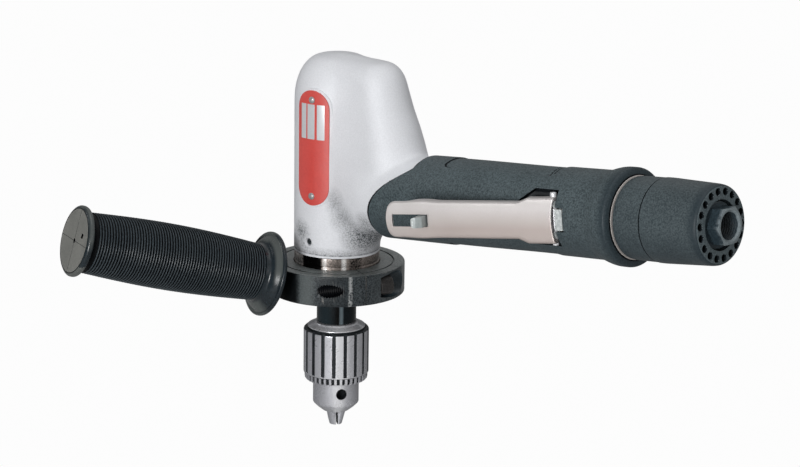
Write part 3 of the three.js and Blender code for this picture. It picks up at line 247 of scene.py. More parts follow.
def skin(rings: Sequence[Sequence[Vector]], looped: bool = False) -> Draft:
    """Joins rings of equal corner counts, with flat caps unless it closes on itself.

    Args:
        rings: the rings in order.
        looped: whether the last ring meets the first.

    Returns:
        The joined draft.
    """
    draft = Draft([corner for ring in rings for corner in ring])
    count = len(rings[0])
    bands = len(rings) if looped else len(rings) - 1
    for i in range(bands):
        low, high = i * count, ((i + 1) % len(rings)) * count
        for j in range(count):
            k = (j + 1) % count
            draft.face((low + j, low + k, high + k, high + j))
    if not looped:
        draft.face(tuple(range(count))[::-1])
        draft.face(tuple(range((len(rings) - 1) * count, len(rings) * count)))
    return draft


def prism(outline: Sequence[Corner], low: float, high: float) -> Draft:
    """An outline in XY extruded along Z between two heights."""
    return skin([[Vector((x, y, z)) for x, y in outline] for z in (low, high)])


def slab(x: Corner, y: Corner, z: Corner) -> Draft:
    """A square-edged tool between limits along each axis."""
    return prism([(x[0], y[0]), (x[1], y[0]), (x[1], y[1]), (x[0], y[1])], *z)


def rod(radius: float, low: float, high: float, sides: int = 64, edge: float = 0.0) -> Draft:
    """A round bar along Z with eased ends."""
    profile = [(0, low, 0), (radius, low, edge), (radius, high, edge), (0, high, 0)]
    return lathe(softened(profile, 3), sides)


def raw_object(name: str, draft: Draft, place: Matrix | None = None) -> bpy.types.Object:
    """Makes a mesh object in metres from a draft in millimetres.

    Args:
        name: the object's name.
        draft: what to make.
        place: where it goes, in millimetres.

    Returns:
        The new object.
    """
    matrix = place or Matrix.Identity(4)
    mesh = bpy.data.meshes.new(name)
    mesh.from_pydata([(matrix @ corner) * MILLIMETRE for corner in draft.corners], [], draft.faces)
    mesh.polygons.foreach_set("material_index", draft.finish_of)
    work = bmesh.new()
    work.from_mesh(mesh)
    bmesh.ops.remove_doubles(work, verts=work.verts, dist=1e-7)
    bmesh.ops.recalc_face_normals(work, faces=work.faces)
    work.to_mesh(mesh)
    work.free()
    made = bpy.data.objects.new(name, mesh)
    bpy.context.scene.collection.objects.link(made)
    return made


def settle(piece: bpy.types.Object) -> None:
    """Makes an object's modifiers part of its mesh."""
    graph = bpy.context.evaluated_depsgraph_get()
    mesh = bpy.data.meshes.new_from_object(piece.evaluated_get(graph))
    old = piece.data
    piece.modifiers.clear()
    piece.data = mesh
    bpy.data.meshes.remove(old)


def shape(
    piece: bpy.types.Object, tools: Sequence[Draft], place: Matrix | None = None,
    how: Shaping = Shaping.AWAY
) -> None:
    """Cuts, joins or trims a piece with tools.

    Args:
        piece: the piece to shape.
        tools: the tools, one after another.
        place: where the tools are, in millimetres.
        how: what the tools do.
    """
    made = [raw_object(piece.name + "_tool", tool, place) for tool in tools]
    for tool in made:
        modifier = piece.modifiers.new("shape", "BOOLEAN")
        modifier.operation = how.value
        modifier.solver = "MANIFOLD"
        modifier.object = tool
    settle(piece)
    for tool in made:
        bpy.data.meshes.remove(tool.data)


def ease_edges(
    piece: bpy.types.Object, width: float, angle: float = 40.0, segments: int = 3
) -> None:
    """Rounds the edges that are sharper than an angle.

    Args:
        piece: the piece.
        width: the rounding in millimetres.
        angle: the least angle of an edge that is rounded, in degrees.
        segments: how many faces each rounding has.
    """
    modifier = piece.modifiers.new("ease", "BEVEL")
    modifier.width = width * MILLIMETRE
    modifier.segments = segments
    modifier.limit_method = "ANGLE"
    modifier.angle_limit = math.radians(angle)
    settle(piece)


def paint(
    piece: bpy.types.Object, number: int, inside: Callable[[Vector], bool],
    place: Matrix | None = None
) -> None:
    """Gives the faces whose middles pass a test a finish number.

    Args:
        piece: the piece.
        number: the finish number.
        inside: the test, on a middle in millimetres.
        place: the axes that the test works in, or None for the frame's.
    """
    back = (place or Matrix.Identity(4)).inverted()
    for face in piece.data.polygons:
        if inside(back @ (face.center / MILLIMETRE)):
            face.material_index = number


class Wiring:
    """Adds nodes to a tree and joins their sockets."""

    def __init__(self, tree: bpy.types.NodeTree) -> None:
        """Works on one tree."""
        self.tree = tree

    def node(self, kind: str, settings: dict | None = None, **values: object) -> bpy.types.Node:
        """Adds a node.

        Args:
            kind: the node's type name.
            settings: the node's own properties.
            values: values or sockets for its inputs, by name with underscores for blanks.

        Returns:
            The node.
        """
        made = self.tree.nodes.new(kind)
        for key, value in (settings or {}).items():
            setattr(made, key, value)
        for key, value in values.items():
            self.feed(made, key.replace("_", " "), value)
        return made

    def feed(self, node: bpy.types.Node, socket: str | int, value: object) -> None:
        """Joins a socket to an input, or sets the input's own value."""
        if isinstance(value, bpy.types.NodeSocket):
            self.tree.links.new(value, node.inputs[socket])
        else:
            node.inputs[socket].default_value = value

    def sum(self, kind: str, first: object, second: object) -> bpy.types.NodeSocket:
        """A sum, product or other piece of arithmetic on two values."""
        made = self.node("ShaderNodeMath", {"operation": kind})
        self.feed(made, 0, first)
        self.feed(made, 1, second)
        return made.outputs[0]

    def spread(
        self, value: object, low: float, high: float, start: float = 0.0, end: float = 1.0
    ) -> bpy.types.NodeSocket:
        """Spreads the values between low and high over start to end."""
        made = self.node("ShaderNodeMapRange")
        for socket, fed in zip(
            ("Value", "From Min", "From Max", "To Min", "To Max"), (value, low, high, start, end)
        ):
            self.feed(made, socket, fed)
        return made.outputs["Result"]

    def blend(self, share: object, first: object, second: object) -> bpy.types.NodeSocket:
        """One colour over another by a share."""
        made = self.node("ShaderNodeMix", {"data_type": "RGBA"})
        self.feed(made, 0, share)
        self.feed(made, 6, first)
        self.feed(made, 7, second)
        return made.outputs[2]


def opaque(colour: Colour) -> tuple[float, float, float, float]:
    """A colour with full cover."""
    return (*colour, 1.0)


class SurfaceEffects:
    """Node groups for the effects that several finishes share, each built once."""

    def __init__(self) -> None:
        """Builds every group."""
        self.grain = self._grain()
        self.edge_wear = self._edge_wear()
        self.streaks = self._streaks()
        self.handling = self._handling()

    @staticmethod
    def _group(
        name: str, inputs: dict[str, str], outputs: dict[str, str]
    ) -> tuple[bpy.types.NodeTree, Wiring]:
        """Starts a group.

        Args:
            name: the group's name.
            inputs: its inputs and their socket types.
            outputs: its outputs and their socket types.

        Returns:
            The group and a wiring for it.
        """
        tree = bpy.data.node_groups.new(name, "ShaderNodeTree")
        for label, kind in inputs.items():
            tree.interface.new_socket(label, in_out="INPUT", socket_type=kind)
        for label, kind in outputs.items():
            tree.interface.new_socket(label, in_out="OUTPUT", socket_type=kind)
        return tree, Wiring(tree)

    def _grain(self) -> bpy.types.NodeTree:
        """Fine specks over slow patches, as a colour, a height and the patches alone."""
        tree, wires = self._group(
            "fine_grain",
            {
                "Light": "NodeSocketColor",
                "Dark": "NodeSocketColor",
                "Fineness": "NodeSocketFloat",
                "Patches": "NodeSocketFloat",
                "Specks": "NodeSocketFloat",
                "Drift": "NodeSocketFloat",
            },
            {"Colour": "NodeSocketColor", "Height": "NodeSocketFloat", "Patch": "NodeSocketFloat"},
        )
        given = wires.node("NodeGroupInput")
        place = wires.node("ShaderNodeTexCoord").outputs["Object"]
        fine = wires.node(
            "ShaderNodeTexNoise", Vector=place, Scale=given.outputs["Fineness"], Detail=3.0,
            Roughness=0.6
        ).outputs["Fac"]
        slow = wires.node(
            "ShaderNodeTexNoise", Vector=place, Scale=given.outputs["Patches"], Detail=4.0,
            Roughness=0.55
        ).outputs["Fac"]
        speck = wires.spread(fine, 0.36, 0.66)
        patch = wires.spread(slow, 0.32, 0.68)
        share = wires.sum(
            "ADD",
            wires.sum("MULTIPLY", speck, given.outputs["Specks"]),
            wires.sum("MULTIPLY", patch, given.outputs["Drift"]),
        )
        colour = wires.blend(share, given.outputs["Light"], given.outputs["Dark"])
        result = wires.node("NodeGroupOutput")
        wires.feed(result, "Colour", colour)
        wires.feed(result, "Height", fine)
        wires.feed(result, "Patch", patch)
        return tree

    def _edge_wear(self) -> bpy.types.NodeTree:
        """Where raised edges are rubbed, broken up by noise."""
        tree, wires = self._group(
            "rubbed_edges",
            {"Start": "NodeSocketFloat", "End": "NodeSocketFloat", "Breakup": "NodeSocketFloat"},
            {"Mask": "NodeSocketFloat"},
        )
        given = wires.node("NodeGroupInput")
        place = wires.node("ShaderNodeTexCoord").outputs["Object"]
        noise = wires.node(
            "ShaderNodeTexNoise", Vector=place, Scale=given.outputs["Breakup"], Detail=5.0,
            Roughness=0.7
        )
        edge = wires.spread(
            wires.node("ShaderNodeNewGeometry").outputs["Pointiness"], given.outputs["Start"],
            given.outputs["End"]
        )
        mask = wires.sum("MULTIPLY", edge, wires.spread(noise.outputs["Fac"], 0.4, 0.62))
        wires.feed(wires.node("NodeGroupOutput"), "Mask", mask)
        return tree

    def _streaks(self) -> bpy.types.NodeTree:
        """Lines from turning, brushing or drawing, longest where the stretch is smallest."""
        tree, wires = self._group(
            "tool_streaks", {"Stretch": "NodeSocketVector"}, {"Mask": "NodeSocketFloat"}
        )
        given = wires.node("NodeGroupInput")
        place = wires.node("ShaderNodeTexCoord").outputs["Object"]
        scaled = wires.node("ShaderNodeVectorMath", {"operation": "MULTIPLY"})
        wires.feed(scaled, 0, place)
        wires.feed(scaled, 1, given.outputs["Stretch"])
        noise = wires.node(
            "ShaderNodeTexNoise", Vector=scaled.outputs[0], Scale=1.0, Detail=4.0, Roughness=0.65
        )
        wires.feed(
            wires.node("NodeGroupOutput"), "Mask", wires.spread(noise.outputs["Fac"], 0.3, 0.7)
        )
        return tree

    def _handling(self) -> bpy.types.NodeTree:
        """Smudges and rubbed spots left by hands and cloths."""
        tree, wires = self._group(
            "handling_marks", {"Spread": "NodeSocketFloat", "Amount": "NodeSocketFloat"},
            {"Mask": "NodeSocketFloat"}
        )
        given = wires.node("NodeGroupInput")
        place = wires.node("ShaderNodeTexCoord").outputs["Object"]
        noise = wires.node(
            "ShaderNodeTexNoise", Vector=place, Scale=given.outputs["Spread"], Detail=6.0,
            Roughness=0.62, Distortion=0.6
        )
        mask = wires.sum(
            "MULTIPLY", wires.spread(noise.outputs["Fac"], 0.38, 0.7), given.outputs["Amount"]
        )
        wires.feed(wires.node("NodeGroupOutput"), "Mask", mask)
        return tree


@dataclass(frozen=True)
class Finish:
    """One finish: a pair of grain colours, its gloss, its relief, its wear and any painted light
    and shade.
    """

    name: str
    slot: Slot
    light: Colour
    dark: Colour
    metallic: float = 0.0
    rough: Corner = (0.4, 0.5)
    fineness: float = 2500.0
    patches: float = 55.0
    specks: float = 0.5
    drift: float = 0.3
    relief: float = 0.02
    streak: Colour | None = None
    streak_relief: float = 0.01
    worn: Colour | None = None
    worn_from: Corner = (0.52, 0.58)
    coat: float = 0.0
    specular: float = 0.5
    shade: Callable[[Wiring, bpy.types.NodeSocket], bpy.types.NodeSocket] | None = None

    def material(self, effects: SurfaceEffects) -> bpy.types.Material:
        """Builds the finish once, or returns the one that is there.

        Args:
            effects: the shared node groups.

        Returns:
            The material.
        """
        found = bpy.data.materials.get(self.name)
        if found:
            return found
        made = bpy.data.materials.new(self.name)
        made.use_nodes = True
        made.node_tree.nodes.clear()
        wires = Wiring(made.node_tree)
        shader = wires.node("ShaderNodeBsdfPrincipled")
        wires.feed(wires.node("ShaderNodeOutputMaterial"), "Surface", shader.outputs[0])
        grain = wires.node(
            "ShaderNodeGroup",
            {"node_tree": effects.grain},
            Light=opaque(self.light),
            Dark=opaque(self.dark),
            Fineness=self.fineness,
            Patches=self.patches,
            Specks=self.specks,
            Drift=self.drift,
        )
        marks = wires.node(
            "ShaderNodeGroup", {"node_tree": effects.handling}, Spread=self.patches * 2.2,
            Amount=1.0
        )
        colour = grain.outputs["Colour"]
        # painted light and shade, laid into the colour by the finish's shade function
        if self.shade:
            colour = self.shade(wires, colour)
        if self.worn:
            wear = wires.node(
                "ShaderNodeGroup",
                {"node_tree": effects.edge_wear},
                Start=self.worn_from[0],
                End=self.worn_from[1],
                Breakup=420.0,
            )
            colour = wires.blend(wear.outputs["Mask"], colour, opaque(self.worn))
        wires.feed(shader, "Base Color", colour)
        wires.feed(shader, "Roughness", wires.spread(marks.outputs["Mask"], 0.0, 1.0, *self.rough))
        shader.inputs["Metallic"].default_value = self.metallic
        shader.inputs["Specular IOR Level"].default_value = self.specular
        shader.inputs["Coat Weight"].default_value = self.coat
        shader.inputs["Coat Roughness"].default_value = 0.12
        bump = wires.node(
            "ShaderNodeBump", Strength=1.0, Distance=self.relief * MILLIMETRE,
            Height=grain.outputs["Height"]
        )
        normal = bump.outputs["Normal"]
        if self.streak:
            lines = wires.node(
                "ShaderNodeGroup", {"node_tree": effects.streaks}, Stretch=self.streak
            )
            second = wires.node(
                "ShaderNodeBump",
                Strength=1.0,
                Distance=self.streak_relief * MILLIMETRE,
                Height=lines.outputs["Mask"],
                Normal=normal,
            )
            normal = second.outputs["Normal"]
        wires.feed(shader, "Normal", normal)
        return made


NECK_SHADOWS: tuple[tuple[Colour, float, float], ...] = (
    ((27.5, -3.5, -17.0), 17.5, 1.8),
    ((24.0, -11.5, -8.0), 14.5, 1.15),
    ((19.5, -17.5, -1.0), 10.5, 0.72),
    ((-4.5, -23.3, -20.5), 9.0, 0.95),
    ((-1.0, -24.0, -27.0), 7.0, 0.7),
    ((40.0, -10.5, -15.5), 14.0, 1.4),
    ((41.0, -17.0, -8.5), 9.5, 0.9),
)


def spots(wires: Wiring, marks: Sequence[tuple[Colour, float, float]]) -> bpy.types.NodeSocket:
    """A mask of soft round spots.

    Args:
        wires: the material's wiring.
        marks: each spot's middle and reach in millimetres, and how full it is.

    Returns:
        The mask.
    """
    place = wires.node("ShaderNodeTexCoord").outputs["Object"]
    amount: bpy.types.NodeSocket | None = None
    for centre, reach, full in marks:
        away = wires.node("ShaderNodeVectorMath", {"operation": "DISTANCE"})
        wires.feed(away, 0, place)
        wires.feed(away, 1, tuple(c * MILLIMETRE for c in centre))
        spot = wires.spread(away.outputs["Value"], reach * MILLIMETRE, 0.0, 0.0, full)
        amount = spot if amount is None else wires.sum("MAXIMUM", amount, spot)
    return amount


def noise_mask(wires: Wiring, scale: float, low: float, high: float) -> bpy.types.NodeSocket:
    """A fine grainy mask."""
    noise = wires.node("ShaderNodeTexNoise", Scale=scale, Detail=2.0, Roughness=0.6)
    wires.feed(noise, "Vector", wires.node("ShaderNodeTexCoord").outputs["Object"])
    return wires.spread(noise.outputs["Fac"], low, high)


def neck_shade(wires: Wiring, colour: bpy.types.NodeSocket) -> bpy.types.NodeSocket:
    """Painted shade, broken into grains, under the neck, along the housing's foot and in the line
    above its lip.

    Args:
        wires: the material's wiring.
        colour: the colour without the painted shade.

    Returns:
        The colour with the painted shade.
    """
    place = wires.node("ShaderNodeTexCoord").outputs["Object"]
    height = wires.node("ShaderNodeSeparateXYZ", Vector=place).outputs["Z"]
    foot = wires.sum("MULTIPLY", wires.spread(height, -0.0268, -0.0312), 0.62)
    amount = wires.sum("MAXIMUM", foot, spots(wires, NECK_SHADOWS))
    # the painted shade is held back round the set screw, which leaves a lighter ring there
    screw = spots(wires, (((1.65, -23.65, -25.1), 3.6, 1.0),))
    amount = wires.sum("MULTIPLY", amount, wires.spread(screw, 0.08, 0.3, 1.0, 0.0))
    amount = wires.sum("MULTIPLY", amount, wires.spread(height, -0.0320, -0.0317))
    grains = noise_mask(wires, 1250.0, 0.44, 0.60)
    share = wires.sum(
        "MULTIPLY", amount, wires.sum("ADD", wires.sum("MULTIPLY", grains, 0.62), 0.36)
    )
    line = wires.sum(
        "MULTIPLY", wires.spread(height, -0.0308, -0.0312), wires.spread(height, -0.0320, -0.0316)
    )
    line = wires.sum(
        "MULTIPLY", line, wires.spread(noise_mask(wires, 420.0, 0.35, 0.6), 0.0, 1.0, 0.3, 0.8)
    )
    return wires.blend(wires.sum("MAXIMUM", share, line), colour, opaque((0.03, 0.038, 0.042)))


def around(
    wires: Wiring, start: Colour, axis: Colour, toward: Colour, inner: float, outer: float
) -> bpy.types.NodeSocket:
    """A mask by the side of an axis that a point lies on.

    Args:
        wires: the material's wiring.
        start: a point of the axis in millimetres.
        axis: the axis's direction.
        toward: the side of the mask's middle.
        inner: how many degrees off it the mask is still full.
        outer: how many degrees off it the mask ends.

    Returns:
        The mask, full at the middle.
    """
    line = Vector(axis).normalized()
    offset = wires.node("ShaderNodeVectorMath", {"operation": "SUBTRACT"})
    wires.feed(offset, 0, wires.node("ShaderNodeTexCoord").outputs["Object"])
    wires.feed(offset, 1, tuple(c * MILLIMETRE for c in start))
    spun = wires.node("ShaderNodeVectorMath", {"operation": "CROSS_PRODUCT"})
    wires.feed(spun, 0, offset.outputs[0])
    wires.feed(spun, 1, tuple(line))
    unit = wires.node("ShaderNodeVectorMath", {"operation": "NORMALIZE"})
    wires.feed(unit, 0, spun.outputs[0])
    near = wires.node("ShaderNodeVectorMath", {"operation": "DOT_PRODUCT"})
    wires.feed(near, 0, unit.outputs[0])
    wires.feed(near, 1, tuple(Vector(toward).cross(line).normalized()))
    return wires.spread(
        near.outputs["Value"], math.cos(math.radians(outer)), math.cos(math.radians(inner))
    )


def facing(wires: Wiring, degrees: float, inner: float, outer: float) -> bpy.types.NodeSocket:
    """A mask by the angle round the spindle."""
    side = (math.cos(math.radians(degrees)), math.sin(math.radians(degrees)), 0.0)
    return around(wires, (0.0, 0.0, 0.0), (0.0, 0.0, 1.0), side, inner, outer)


def along(wires: Wiring, axis: Colour, low: float, high: float) -> bpy.types.NodeSocket:
    """A mask that grows along a direction from the origin, between stations in millimetres."""
    station = wires.node("ShaderNodeVectorMath", {"operation": "DOT_PRODUCT"})
    wires.feed(station, 0, wires.node("ShaderNodeTexCoord").outputs["Object"])
    wires.feed(station, 1, axis)
    return wires.spread(station.outputs["Value"], low * MILLIMETRE, high * MILLIMETRE)


def collar_shade(wires: Wiring, colour: bpy.types.NodeSocket) -> bpy.types.NodeSocket:
    """Painted reflections on the black collar: darker sides, paler sides and one upright painted
    highlight line.
    """
    painted_dark_band = wires.blend(
        wires.sum("MULTIPLY", facing(wires, -45.0, 10.0, 17.0), 0.5), colour,
        opaque((0.006, 0.009, 0.011))
    )
    # painted reflection: a paler band to one side
    pale = wires.blend(
        wires.sum("MULTIPLY", facing(wires, -70.5, 2.5, 9.0), 0.6), painted_dark_band,
        opaque((0.115, 0.13, 0.13))
    )
    painted_dark_side = wires.sum("MULTIPLY", facing(wires, -114.0, 33.0, 38.0), 0.97)
    dark = wires.blend(painted_dark_side, pale, opaque((0.001, 0.0015, 0.002)))
    painted_pale_sides = wires.blend(
        wires.sum("MULTIPLY", facing(wires, 12.0, 10.0, 30.0), 0.3), dark,
        opaque((0.10, 0.115, 0.12))
    )
    painted_pale_sides = wires.blend(
        wires.sum("MULTIPLY", facing(wires, 42.0, 10.0, 18.0), 0.8), painted_pale_sides,
        opaque((0.20, 0.215, 0.215))
    )
    # painted highlight: one upright bright line, broken by noise
    line = wires.sum(
        "MULTIPLY", facing(wires, -33.0, 0.3, 2.2), noise_mask(wires, 900.0, 0.36, 0.58)
    )
    return wires.blend(line, painted_pale_sides, opaque((0.30, 0.31, 0.31)))


def nose_shade(wires: Wiring, colour: bpy.types.NodeSocket) -> bpy.types.NodeSocket:
    """A painted highlight line between painted deep black sides, and paler painted edges, on the
    spindle's nose.
    """
    left = wires.blend(facing(wires, -88.0, 14.0, 34.0), colour, opaque((0.010, 0.017, 0.021)))
    deep = wires.blend(facing(wires, -38.0, 3.0, 14.0), left, opaque((0.0, 0.0, 0.0)))
    # painted highlight: one bright upright line
    rubbed = wires.blend(
        wires.sum("MULTIPLY", facing(wires, -30.0, 1.0, 7.5), 0.7), deep, opaque((0.15, 0.19, 0.21))
    )
    # painted reflection: paler edges at both sides
    edge = wires.sum("MAXIMUM", facing(wires, -136.0, 10.0, 24.0), facing(wires, 44.0, 10.0, 24.0))
    return wires.blend(wires.sum("MULTIPLY", edge, 0.8), rubbed, opaque((0.075, 0.082, 0.076)))


def band_shade(wires: Wiring, colour: bpy.types.NodeSocket) -> bpy.types.NodeSocket:
    """Painted dark and bright reflections, as upright patches on the plated band."""
    broken = wires.spread(noise_mask(wires, 900.0, 0.36, 0.6), 0.0, 1.0, 0.3, 1.0)
    far = wires.sum(
        "MULTIPLY", facing(wires, -18.5, 7.0, 11.0), wires.sum("MULTIPLY", broken, 0.96)
    )
    middle = wires.sum(
        "MULTIPLY", facing(wires, -47.0, 6.0, 11.0), wires.sum("MULTIPLY", broken, 0.55)
    )
    right = wires.sum(
        "MULTIPLY", facing(wires, 14.0, 14.0, 24.0), wires.sum("MULTIPLY", broken, 0.5)
    )
    dark = wires.sum("MAXIMUM", facing(wires, -81.0, 14.5, 17.0), far)
    dark = wires.sum("MAXIMUM", dark, wires.sum("MAXIMUM", middle, right))
    painted_dark_reflections = wires.blend(dark, colour, opaque((0.001, 0.001, 0.001)))
    # painted highlights: bright upright lines
    bright = wires.sum(
        "MAXIMUM", facing(wires, -35.0, 1.0, 4.0),
        wires.sum("MULTIPLY", facing(wires, -61.0, 1.0, 3.5), 0.6)
    )
    bright = wires.sum(
        "MAXIMUM", bright, wires.sum("MULTIPLY", facing(wires, -108.0, 5.0, 13.0), 0.4)
    )
    return wires.blend(bright, painted_dark_reflections, opaque((0.86, 0.84, 0.82)))


def chuck_shade(wires: Wiring, colour: bpy.types.NodeSocket) -> bpy.types.NodeSocket:
    """Upright painted light and shade round the chuck, with fine dark grains of the steel."""
    left = wires.sum("MULTIPLY", facing(wires, -114.0, 6.0, 58.0), 0.5)
    right = wires.sum("MULTIPLY", facing(wires, 22.0, 6.0, 42.0), 0.3)
    edge = wires.sum("MAXIMUM", facing(wires, -138.0, 8.0, 30.0), facing(wires, 46.0, 8.0, 26.0))
    dark = wires.sum(
        "MAXIMUM", wires.sum("MAXIMUM", left, right), wires.sum("MULTIPLY", edge, 0.85)
    )
    shaded = wires.blend(dark, colour, opaque((0.125, 0.13, 0.15)))
    grains = wires.sum("MULTIPLY", noise_mask(wires, 1500.0, 0.5, 0.68), 0.25)
    grainy = wires.blend(grains, shaded, opaque((0.2, 0.205, 0.22)))
    return wires.blend(
        wires.sum("MULTIPLY", facing(wires, -37.0, 5.0, 18.0), 0.8), grainy,
        opaque((0.86, 0.865, 0.89))
    )


SIDE_HANDLE_START: Colour = (0.0, 0.0, -55.0)
SIDE_HANDLE_AXIS: Colour = (-0.2976, -0.9158, 0.2698)
REAR_HANDLE_AXIS: Colour = (0.99361, 0.0, 0.11286)


def flange_shade(wires: Wiring, colour: bpy.types.NodeSocket) -> bpy.types.NodeSocket:
    """A painted grey reflection along parts of the side handle's flange."""
    axis = Vector(SIDE_HANDLE_AXIS).normalized()
    upward = (Vector((0, 0, 1)) - axis * axis.z).normalized()
    across = axis.cross(upward)

    def side(degrees: float) -> Colour:
        """The direction that many degrees round the handle from its top."""
        return tuple(
            upward * math.cos(math.radians(degrees)) + across * math.sin(math.radians(degrees))
        )

    offset = wires.node("ShaderNodeVectorMath", {"operation": "SUBTRACT"})
    wires.feed(offset, 0, wires.node("ShaderNodeTexCoord").outputs["Object"])
    wires.feed(offset, 1, tuple(c * MILLIMETRE for c in SIDE_HANDLE_START))
    spun = wires.node("ShaderNodeVectorMath", {"operation": "CROSS_PRODUCT"})
    wires.feed(spun, 0, offset.outputs[0])
    wires.feed(spun, 1, tuple(axis))
    length = wires.node("ShaderNodeVectorMath", {"operation": "LENGTH"})
    wires.feed(length, 0, spun.outputs[0])
    ring = wires.spread(length.outputs["Value"], 0.0178, 0.0192)
    ring = wires.sum("MULTIPLY", ring, wires.spread(length.outputs["Value"], 0.0226, 0.0216))
    high = around(wires, SIDE_HANDLE_START, SIDE_HANDLE_AXIS, side(-40.0), 36.0, 56.0)
    low = around(wires, SIDE_HANDLE_START, SIDE_HANDLE_AXIS, side(-180.0), 26.0, 44.0)
    wide = wires.sum("MULTIPLY", low, wires.spread(length.outputs["Value"], 0.0158, 0.0172))
    sheen = wires.sum("MAXIMUM", wires.sum("MULTIPLY", ring, high), wide)
    top = around(wires, SIDE_HANDLE_START, SIDE_HANDLE_AXIS, side(14.0), 14.0, 26.0)
    sheen = wires.sum(
        "MAXIMUM", sheen,
        wires.sum("MULTIPLY", top, wires.spread(length.outputs["Value"], 0.0166, 0.018))
    )
    return wires.blend(wires.sum("MULTIPLY", sheen, 0.85), colour, opaque((0.078, 0.088, 0.085)))


def grip_shade(wires: Wiring, colour: bpy.types.NodeSocket) -> bpy.types.NodeSocket:
    """Painted shade on the rear grip: a darker lower side and a dark hollow behind the bead."""
    low = around(wires, (0.0, 0.0, 0.0), REAR_HANDLE_AXIS, (0.1, -0.35, -1.0), 8.0, 70.0)
    behind = along(wires, REAR_HANDLE_AXIS, 205.0, 209.5)
    dark = wires.sum(
        "MAXIMUM", wires.sum("MULTIPLY", low, 0.42), wires.sum("MULTIPLY", behind, 0.72)
    )
    return wires.blend(dark, colour, opaque((0.012, 0.022, 0.029)))


def muffler_shade(wires: Wiring, colour: bpy.types.NodeSocket) -> bpy.types.NodeSocket:
    """Painted shade on the exhaust cap: a darker lower side and a dark round edge at its end."""
    low = around(wires, (0.0, 0.0, 0.0), REAR_HANDLE_AXIS, (0.1, -0.5, -1.0), 6.0, 66.0)
    edge = wires.sum("MULTIPLY", along(wires, REAR_HANDLE_AXIS, 257.0, 261.5), 0.8)
    dark = wires.sum("MAXIMUM", wires.sum("MULTIPLY", low, 0.45), edge)
    return wires.blend(dark, colour, opaque((0.012, 0.022, 0.029)))


def lever_shade(wires: Wiring, colour: bpy.types.NodeSocket) -> bpy.types.NodeSocket:
    """Painted light and shade on the sheet: whiter at its upper edge and warmer along its lower
    one.
    """
    axes = wires.node(
        "ShaderNodeSeparateXYZ", Vector=wires.node("ShaderNodeTexCoord").outputs["Object"]
    )
    height = wires.sum(
        "SUBTRACT", axes.outputs["Z"], wires.sum("MULTIPLY", axes.outputs["X"], 0.1135)
    )
    low = wires.spread(height, 0.0055, -0.0045)
    rear = wires.spread(axes.outputs["X"], 0.080, 0.125, 0.45, 1.0)
    return wires.blend(wires.sum("MULTIPLY", low, rear), colour, opaque((0.365, 0.315, 0.295)))


CAST_FINISH = Finish(
    "blasted_aluminium", Slot.CAST, (0.72, 0.73, 0.76), (0.60, 0.61, 0.635), 0.12, (0.58, 0.68),
    1400.0, 45.0, 0.5, 0.22, 0.05, shade=neck_shade, specular=0.3,
)
PLAIN_CAST = Finish(
    "machined_casting", Slot.CAST, (0.60, 0.61, 0.63), (0.45, 0.46, 0.48), 0.85, (0.38, 0.5),
    1800.0, 60.0, 0.4, 0.25, 0.03,
)
# painted shade: the casting darkened where it lies in the gap behind the grip and inside the grip
DARK_CAST = Finish(
    "shaded_casting", Slot.CAST, (0.085, 0.09, 0.095), (0.045, 0.05, 0.055), 0.6, (0.5, 0.62),
    1800.0, 60.0, 0.4, 0.25, 0.03,
)
ENAMEL_RED = Finish(
    "red_enamel", Slot.LABEL, (0.60, 0.075, 0.062), (0.50, 0.055, 0.048), 0.0, (0.28, 0.4),
    900.0, 90.0, 0.35, 0.4, 0.006, worn=(0.78, 0.74, 0.72), worn_from=(0.56, 0.62), coat=0.3,
)
ENAMEL_WHITE = Finish(
    "bare_field", Slot.LABEL, (0.655, 0.67, 0.69), (0.57, 0.585, 0.61), 0.3, (0.32, 0.42),
    1200.0, 120.0, 0.35, 0.4, 0.006, streak=(300.0, 300.0, 5200.0), streak_relief=0.004,
)
BRIGHT_STEEL = Finish(
    "turned_steel", Slot.STEEL, (0.78, 0.785, 0.81), (0.62, 0.625, 0.65), 0.45, (0.26, 0.38),
    2600.0, 70.0, 0.25, 0.25, 0.004, streak=(60.0, 60.0, 5200.0), streak_relief=0.012,
    worn=(0.9, 0.91, 0.93), worn_from=(0.53, 0.6),
)
# painted shade: the steel darkened in the flutes, key holes, gaps and between the jaws
SHADED_STEEL = Finish(
    "shaded_steel", Slot.STEEL, (0.030, 0.036, 0.042), (0.004, 0.005, 0.006), 0.2, (0.42, 0.55),
    1300.0, 200.0, 0.7, 0.3, 0.02, specular=0.25,
)
NICKEL = Finish(
    "nickel_plate", Slot.NICKEL, (0.40, 0.35, 0.32), (0.20, 0.165, 0.145), 0.6, (0.24, 0.36),
    1200.0, 85.0, 0.6, 0.35, 0.006, streak=(40.0, 40.0, 2600.0), streak_relief=0.01,
    shade=band_shade, specular=0.2,
)
RING_STEEL = Finish(
    "dull_ring", Slot.STEEL, (0.74, 0.69, 0.66), (0.54, 0.50, 0.47), 0.4, (0.3, 0.42),
    1200.0, 85.0, 0.5, 0.35, 0.006,
)
SCREW_STEEL = Finish(
    "dull_steel", Slot.STEEL, (0.46, 0.45, 0.45), (0.30, 0.29, 0.29), 0.5, (0.3, 0.42),
    1200.0, 85.0, 0.5, 0.35, 0.006,
)
